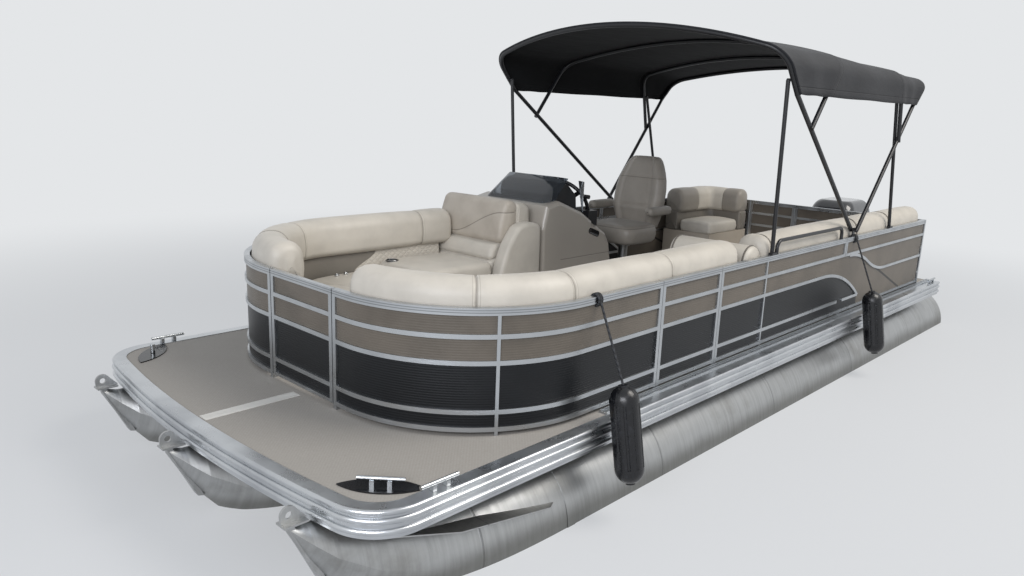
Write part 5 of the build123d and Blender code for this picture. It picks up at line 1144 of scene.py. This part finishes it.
class BOAT_OT_helm_chair(bpy.types.Operator):
    """Make the helm chair's seat, back and arms"""

    bl_idname = "boat.helm_chair"
    bl_label = "Helm chair"

    def execute(self, context):
        covers = [vinyl_set()["greige"]]
        cushion("chair_backrest", [capped(*chair_back_rings(), 0.004)], covers, "chair", "chair_back")
        cushion("chair_cushion", [capped(*chair_seat_rings(), 0.012)], covers, "chair", "chair_seat")
        x, y = CHAIR_PLACE
        skins = []
        for side in (1, -1):
            arm_y = y + side * CHAIR_ARM_REACH
            path = straight_path(*((x + end, arm_y) for end in CHAIR_ARM_ENDS), (0, side))
            skins.append(stuffed(path, rounded(*CHAIR_ARM), swell=0.004))
            path = straight_path(*((x + CHAIR_STUB_X, y + side * end) for end in CHAIR_STUB_ENDS), (1, 0))
            skins.append(stuffed(path, rounded(*CHAIR_ARM_STUB), rounding=0.003, crown=0.0, swell=0.001))
        cushion("chair_armrests", skins, covers, "chair", "chair_arms")
        return {"FINISHED"}


# Fittings modelled by hand in edit mode


def above_deck(x, y, height):
    """A place on the boat whose height is measured from the deck."""
    return Vector((x, y, DECK_Z + height))


def start_piece(name, kind, location, scale=(1, 1, 1), **settings):
    """A primitive at its size and place, with its place baked into its mesh, left in edit mode."""
    bpy.ops.object.select_all(action="DESELECT")
    getattr(bpy.ops.mesh, "primitive_" + kind + "_add")(location=location, **settings)
    piece = bpy.context.object
    piece.name = name
    piece.scale = scale
    bpy.ops.object.transform_apply(location=True, rotation=True, scale=True)
    bpy.ops.object.mode_set(mode="EDIT")
    return piece


def pick(piece, kind, passes):
    """Selects the faces, edges or verts of a piece that pass a test, and nothing else."""
    bpy.ops.mesh.select_mode(type=kind[:-1].upper())
    bpy.ops.mesh.select_all(action="DESELECT")
    shape = bmesh.from_edit_mesh(piece.data)
    shape.normal_update()
    for item in getattr(shape, kind):
        item.select = passes(item)
    shape.select_flush_mode()
    bmesh.update_edit_mesh(piece.data)


def looks_up(face):
    """Whether a face looks up."""
    return face.normal.z > 0.9


def inset_steps(*steps):
    """Insets the picked faces again and again. columns: thickness, depth"""
    for thickness, depth in steps:
        bpy.ops.mesh.inset(thickness=thickness, depth=depth)


def edge_bevel(width, segments=2, angle=50):
    """The modifier that rounds the sharp edges of a small piece."""
    return "BEVEL", {"width": width, "segments": segments, "limit_method": "ANGLE",
                     "angle_limit": math.radians(angle)}


def end_piece(piece, material, slot, *modifiers):
    """Leaves edit mode, applies modifiers given as kind and settings, and fits the piece to the hull."""
    bpy.ops.mesh.select_all(action="SELECT")
    bpy.ops.mesh.normals_make_consistent(inside=False)
    bpy.ops.object.mode_set(mode="OBJECT")
    for kind, settings in modifiers:
        change = piece.modifiers.new(kind.lower(), kind)
        for name, value in settings.items():
            setattr(change, name, value)
        bpy.ops.object.modifier_apply(modifier=change.name)
    bpy.ops.object.shade_smooth_by_angle(angle=math.radians(40))
    piece.data.materials.clear()
    piece.data.materials.append(material)
    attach(piece, "hull")


def copied(piece, name, shift):
    """A copy of a finished piece, moved into place on the hull."""
    twin = piece.copy()
    twin.data = piece.data.copy()
    twin.name = name
    twin.data.transform(Matrix.Translation(shift))
    bpy.context.scene.collection.objects.link(twin)
    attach(twin, "hull")


class BOAT_OT_windscreen(bpy.types.Operator):
    """Make the bent windscreen on the console"""

    bl_idname = "boat.windscreen"
    bl_label = "Windscreen"

    def execute(self, context):
        low, high = DASH_LINE[-1][1], SCREEN_TOP
        low_z, high_z = DECK_Z + low, DECK_Z + high
        foot_x = SCREEN_FRONT_X + (SCREEN_FOOT - low) * SCREEN_RAKE
        wide = SCREEN_SIDES_Y[1] - SCREEN_SIDES_Y[0] + 2 * SCREEN_LEAN * (SCREEN_FOOT - low)
        piece = start_piece("windscreen_sheet", "cube",
                            ((foot_x + SCREEN_AFT_X) / 2, sum(SCREEN_SIDES_Y) / 2, (low_z + high_z) / 2),
                            (foot_x - SCREEN_AFT_X, wide, high - low), size=1)
        pick(piece, "verts", lambda v: v.co.z > high_z - 0.001 and v.co.x > 0.1)
        bpy.ops.transform.translate(value=((low - high) * SCREEN_RAKE, 0, 0))
        pick(piece, "verts", lambda v: v.co.z > high_z - 0.001)
        bpy.ops.transform.resize(value=(1, (wide - 2 * SCREEN_LEAN * (high - low)) / wide, 1))
        pick(piece, "edges", lambda e: min(v.co.x for v in e.verts) > 0.1
             and abs(e.verts[0].co.z - e.verts[1].co.z) > 0.1)
        bpy.ops.mesh.bevel(offset=SCREEN_CORNER, segments=10, affect="EDGES")
        pick(piece, "faces", lambda f: abs(f.normal.z) > 0.95 or f.normal.x < -0.9)
        bpy.ops.mesh.delete(type="FACE")
        for x, height in DASH_LINE[1:-1]:
            self.cut(piece, above_deck(x, 0, height), (1, 0, 0))
        bounds = [math.inf, *(x for x, _ in DASH_LINE[1:-1]), -math.inf]
        runs = zip(DASH_LINE, DASH_LINE[1:], bounds, bounds[1:])
        for (x, height), (next_x, next_height), fore, aft in runs:
            self.cut(piece, above_deck(x, 0, height), (next_height - height, 0, x - next_x),
                     lambda f: aft < f.calc_center_median().x < fore, clear_inner=True)
        front_x = SCREEN_FRONT_X - (high - SCREEN_FOOT) * SCREEN_RAKE
        self.cut(piece, (front_x, 0, high_z), (-SCREEN_TOP_SLOPE, 0, 1), clear_outer=True)
        self.cut(piece, above_deck(0, 0, SCREEN_AFT_HEIGHT), (-1, 0, -SCREEN_AFT_RAKE), clear_outer=True)
        end_piece(piece, smoked_acrylic(), "screen",
                  ("SOLIDIFY", {"thickness": SCREEN_THICKNESS, "offset": -1.0}), edge_bevel(0.0015, angle=60))
        piece.data.materials.append(painted_edge_highlight())
        # painted highlight: the faces along the screen's top edge take the pale edge colour
        for face in piece.data.polygons:
            if face.center.z > high_z - 0.03 and face.normal.z > 0.6:
                face.material_index = 1
        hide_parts("windscreen")
        return {"FINISHED"}

    def cut(self, piece, place, normal, passes=lambda f: True, **sides):
        """Cuts the faces that pass a test along a plane, and clears one of its sides if that is asked."""
        pick(piece, "faces", passes)
        bpy.ops.mesh.bisect(plane_co=place, plane_no=normal, **sides)


class BOAT_OT_deck_fittings(bpy.types.Operator):
    """Make the seam strip on the bow deck, the cup holder and the latches"""

    bl_idname = "boat.deck_fittings"
    bl_label = "Deck fittings"

    def execute(self, context):
        start_x, end_x = FENCE_FRONT_X + 0.03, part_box("deck")[1].x - 0.052
        strip = start_piece("bow_seam_strip", "cube", above_deck((start_x + end_x) / 2, 0, STRIP_HEIGHT / 2),
                            (end_x - start_x, STRIP_WIDTH, STRIP_HEIGHT), size=1)
        pick(strip, "faces", looks_up)
        inset_steps((0.008, 0.0012), (0.01, 0.0), (0.002, -0.0006))
        end_piece(strip, moulded_plastic("seam strip rubber", "D6D4CF", "C2C0BA", 0.6), "deck_vinyl")
        self.cup_holder()
        latch = start_piece("seat_latch", "cube", above_deck(*SEAT_LATCH), LATCH_SIZE, size=1)
        pick(latch, "faces", looks_up)
        inset_steps((0.003, 0.0))
        bpy.ops.mesh.extrude_region_move(TRANSFORM_OT_translate={"value": (0, 0, 0.006)})
        end_piece(latch, bpy.data.materials["cup holder rim"], "steel", edge_bevel(0.0018, 3, 40))
        copied(latch, "seat_latch_aft", LATCH_SHIFT)
        return {"FINISHED"}

    def cup_holder(self):
        """The cup holder beside the chaise: a black cup with a bright rim."""
        x, y, height = CUP_HOLDER
        cup = start_piece("cup_holder", "cylinder", above_deck(x, y, height + 0.002), vertices=40,
                          radius=CUP_RADIUS, depth=0.006)
        pick(cup, "faces", looks_up)
        inset_steps((0.006, 0.0015), (0.002, -0.001))
        bpy.ops.mesh.extrude_region_move(TRANSFORM_OT_translate={"value": (0, 0, -CUP_DEPTH)})
        bpy.ops.transform.resize(value=(0.88, 0.88, 1))
        end_piece(cup, moulded_plastic("cup holder plastic", "1A1A1C", "242427", 0.4), "black_plastic",
                  edge_bevel(0.0008))
        rim = start_piece("cup_holder_rim", "torus", above_deck(x, y, height + 0.006), (1, 1, 0.6),
                          major_radius=CUP_RIM_RADIUS, minor_radius=0.0035, major_segments=48,
                          minor_segments=10)
        end_piece(rim, cast_metal("cup holder rim", "C9CCCE", "A4A7AA", 0.12), "steel")


class BOAT_OT_fender_wraps(bpy.types.Operator):
    """Make the turns of line that hold the fenders on the top rail"""

    bl_idname = "boat.fender_wraps"
    bl_label = "Fender wraps"

    def execute(self, context):
        low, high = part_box("fender_lines")
        fore_x, aft_x = high.x - LINE_RADIUS, low.x + LINE_RADIUS
        first = start_piece("fender_wrap", "torus", (fore_x, HALF_BEAM - RAIL_HALF, RAIL_TOP_Z - WRAP_DROP),
                            major_radius=WRAP_RADIUS, minor_radius=LINE_RADIUS, major_segments=32,
                            minor_segments=10, rotation=(0, math.pi / 2, 0))
        bpy.ops.mesh.select_all(action="SELECT")
        bpy.ops.transform.resize(value=(1, 0.93, 1.05))
        end_piece(first, bpy.data.materials["braided line"], "line",
                  ("SUBSURF", {"levels": 1, "render_levels": 1}))
        for name, shift in (("2", -WRAP_PITCH), ("3", WRAP_PITCH), ("aft_1", aft_x - fore_x - WRAP_PITCH),
                            ("aft_2", aft_x - fore_x), ("aft_3", aft_x - fore_x + WRAP_PITCH)):
            copied(first, "fender_wrap_" + name, (shift, 0, 0))
        return {"FINISHED"}


class BOAT_OT_gauges(bpy.types.Operator):
    """Make the gauges and switches of the dash pod, and the grip on the console's side"""

    bl_idname = "boat.gauges"
    bl_label = "Gauges"

    def execute(self, context):
        black = moulded_plastic("gauge glass and bezel", "0E0F11", "191A1D", 0.2)
        place = above_deck(*FIRST_GAUGE)
        gauge = start_piece("dash_gauge", "cylinder", place, vertices=40, radius=GAUGE_RADIUS,
                            depth=GAUGE_DEPTH, rotation=(0, POD_TILT, 0))
        out = Vector((math.sin(POD_TILT), 0, math.cos(POD_TILT)))
        pick(gauge, "faces", lambda f: f.normal.dot(out) > 0.9)
        inset_steps((0.005, 0.0))
        bpy.ops.mesh.extrude_region_move(TRANSFORM_OT_translate={"value": tuple(out * -0.004)})
        inset_steps((0.003, 0.001))
        end_piece(gauge, black, "black_plastic", edge_bevel(0.0012))
        copied(gauge, "dash_gauge_starboard", (0, -GAUGE_PITCH, 0))
        place = place - Vector((0, SWITCH_REACH, 0))
        switch = start_piece("dash_switch", "cube", place, SWITCH_SIZE, size=1)
        pick(switch, "faces", looks_up)
        inset_steps((0.003, 0.002))
        end_piece(switch, black, "black_plastic", edge_bevel(0.001, angle=40))
        for index in (1, 2, 3):
            copied(switch, "dash_switch_" + str(index + 1), (0, -SWITCH_PITCH * index, 0))
        x, height, length, width, slope = GRIP
        grip = start_piece("console_grip", "cube", (x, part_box("console")[1].y + 0.002, DECK_Z + height),
                           (length, 0.004, width), size=1, rotation=(0, -math.radians(slope), 0))
        pick(grip, "edges", lambda e: abs(e.verts[0].co.y - e.verts[1].co.y) > 0.003)
        bpy.ops.mesh.bevel(offset=width * 0.46, segments=8, affect="EDGES")
        pick(grip, "faces", lambda f: f.normal.y > 0.9)
        inset_steps((0.005, 0.0), (0.004, -0.003))
        end_piece(grip, black, "black_plastic", edge_bevel(0.0008))
        return {"FINISHED"}


class BOAT_OT_canopy(bpy.types.Operator):
    """Stretch the canopy's cloth over its four bows"""

    bl_idname = "boat.canopy"
    bl_label = "Canopy cloth"

    def execute(self, context):
        sizes = context.scene.boat_canopy
        rows, gaps = canopy_rows(sizes.sag)
        rows = [flap(rows[0], -FLAP_RUN), *rows, flap(rows[-1], FLAP_RUN)]
        shape = bmesh.new()
        bow = shape.verts.layers.float.new("bow")
        grid = [[shape.verts.new(point) for point in row] for row in rows]
        for row, gap in zip(grid, [FLAP_RUN, *gaps, FLAP_RUN]):
            for vert in row:
                vert[bow] = gap
        for near, far in zip(grid, grid[1:]):
            for k in range(len(near) - 1):
                shape.faces.new((near[k], near[k + 1], far[k + 1], far[k]))
        # painted shade: the inside of the cloth is given a near-black colour for the shade under the canopy
        piece = sewn_piece("canopy_cloth", shape, [
            canopy_cloth("canopy cloth outside", "292A2D", "202124", 0.66),
            canopy_cloth("canopy cloth inside", "0E0F11", "0A0B0C", 0.9)])
        if sum(face.normal.z * face.area for face in piece.data.polygons) < 0:
            piece.data.flip_normals()
        solid = piece.modifiers.new("cloth thickness", "SOLIDIFY")
        solid.thickness = sizes.thickness
        solid.offset = -1.0
        solid.material_offset = 1
        solid.material_offset_rim = 0
        context.view_layer.objects.active = piece
        bpy.ops.object.modifier_apply(modifier=solid.name)
        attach(piece, "hull")
        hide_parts("canopy_top")
        return {"FINISHED"}


def lamp(name, place, aim, size, power, colour):
    """A large soft lamp that faces a point."""
    data = bpy.data.lights.new(name, "AREA")
    data.shape = "RECTANGLE"
    data.size, data.size_y = size
    data.energy = power
    data.color = linear(colour)[:3]
    light = bpy.data.objects.new(name, data)
    bpy.context.scene.collection.objects.link(light)
    light.location = place
    light.rotation_euler = (Vector(aim) - Vector(place)).to_track_quat("-Z", "Y").to_euler()


def straight_view(add):
    """1 for what the camera sees directly, in a mirror or through glass, 0 for light that is spread."""
    path = add("LightPath")
    direct = add("maximum", path.outputs["Is Camera Ray"], path.outputs["Is Transmission Ray"])
    return add("maximum", direct, path.outputs["Is Glossy Ray"])


def studio_sky(strength):
    """Pale surroundings for the camera, mirrors and glass, and a softer light for all else."""
    world = bpy.data.worlds.new("studio")
    world.use_nodes = True
    world.node_tree.nodes.clear()
    add = partial(node, world.node_tree)
    add("OutputWorld", add("MixShader", straight_view(add), add("Background", "DDE3EA", strength),
                           add("Background", SURROUNDINGS, 1.0)))
    bpy.context.scene.world = world


def studio_floor(side):
    """Pale floor at the waterline. It keeps the boat's shadow, and runs into the surroundings far off."""
    bpy.ops.object.select_all(action="DESELECT")
    bpy.ops.mesh.primitive_plane_add(size=side, location=(0, 0, 0))
    floor = bpy.context.object
    floor.name = "studio_floor"
    material, add, place = blank_finish("studio floor")
    colour = add("Mix", add("TexNoise", place, 1 / 3.0, 2.0), "C6C8CB", "C1C3C6")
    shader = add("BsdfPrincipled", Base_Color=colour, Roughness=0.6, Specular_IOR_Level=0.2)
    share = add("MapRange", add("VectorMath", place, operation="LENGTH"), *FLOOR_FADE, 0.5, 1.0)
    share = add("multiply", straight_view(add), share)
    add("OutputMaterial", add("MixShader", share, shader, add("Emission", SURROUNDINGS, 1.0)))
    floor.data.materials.append(material)


def photo_camera():
    """The camera where the photograph was taken from."""
    level = math.cos(CAMERA_DOWN)
    forward = Vector((level * math.cos(CAMERA_YAW), level * math.sin(CAMERA_YAW), -math.sin(CAMERA_DOWN)))
    right = forward.cross(Vector((0, 0, 1))).normalized()
    up = right.cross(forward)
    across = right * math.cos(CAMERA_ROLL) + up * math.sin(CAMERA_ROLL)
    above = up * math.cos(CAMERA_ROLL) - right * math.sin(CAMERA_ROLL)
    data = bpy.data.cameras.new("photo camera")
    data.lens = CAMERA_LENS
    data.sensor_width = SENSOR
    camera = bpy.data.objects.new("photo camera", data)
    bpy.context.scene.collection.objects.link(camera)
    axes = Matrix((across, above, -forward)).transposed()
    camera.matrix_world = Matrix.Translation(CAMERA_PLACE) @ axes.to_4x4()
    bpy.context.scene.camera = camera


class BOAT_OT_stage(bpy.types.Operator):
    """Set the floor, lamps and camera"""

    bl_idname = "boat.stage"
    bl_label = "Stage"

    def execute(self, context):
        settings = context.scene.boat_stage
        context.scene.view_settings.view_transform = "Standard"
        studio_floor(settings.floor)
        studio_sky(0.5)
        for name, place, aim, size, power, colour in (
                ("key", (-2.5, 5.5, 8.0), (0.5, 0.0, 0.8), (5.0, 5.0), settings.key, "FFFAF3"),
                ("fill", (9.0, 4.5, 4.5), (0.0, 0.0, 0.8), (6.0, 4.0), settings.fill, "F6F8FF")):
            lamp(name, place, aim, size, power, colour)
        photo_camera()
        return {"FINISHED"}


class BOAT_PT_panel(bpy.types.Panel):
    """Lists the pieces of the boat"""

    bl_idname = "BOAT_PT_panel"
    bl_label = "Pontoon boat"
    bl_space_type = "VIEW_3D"
    bl_region_type = "UI"
    bl_category = "Pontoon boat"

    def draw(self, context):
        for operator in OPERATORS:
            self.layout.operator(operator.bl_idname)
        for name in ("boat_cushions", "boat_canopy", "boat_stage"):
            group = getattr(context.scene, name)
            for field in group.bl_rna.properties.keys():
                if field not in ("rna_type", "name"):
                    self.layout.prop(group, field)


OPERATORS = (
    BOAT_OT_fitted_finishes,
    BOAT_OT_bow_lounges,
    BOAT_OT_chaise,
    BOAT_OT_aft_lounges,
    BOAT_OT_helm_chair,
    BOAT_OT_windscreen,
    BOAT_OT_gauges,
    BOAT_OT_deck_fittings,
    BOAT_OT_fender_wraps,
    BOAT_OT_canopy,
    BOAT_OT_stage,
)
CLASSES = (BoatCushions, BoatCanopy, BoatStage, *OPERATORS, BOAT_PT_panel)


def register():
    """Adds the settings, operators and panel."""
    for cls in CLASSES:
        bpy.utils.register_class(cls)
    bpy.types.Scene.boat_cushions = PointerProperty(type=BoatCushions)
    bpy.types.Scene.boat_canopy = PointerProperty(type=BoatCanopy)
    bpy.types.Scene.boat_stage = PointerProperty(type=BoatStage)


def unregister():
    """Takes the settings, operators and panel away."""
    del bpy.types.Scene.boat_stage
    del bpy.types.Scene.boat_canopy
    del bpy.types.Scene.boat_cushions
    for cls in reversed(CLASSES):
        bpy.utils.unregister_class(cls)


def main():
    """Builds the whole boat."""
    register()
    bpy.ops.boat.fitted_finishes()
    bpy.ops.boat.bow_lounges()
    bpy.ops.boat.chaise()
    bpy.ops.boat.aft_lounges()
    bpy.ops.boat.helm_chair()
    bpy.ops.boat.windscreen()
    bpy.ops.boat.gauges()
    bpy.ops.boat.deck_fittings()
    bpy.ops.boat.fender_wraps()
    bpy.ops.boat.canopy()
    bpy.ops.boat.stage()


if __name__ == "__main__":
    main()
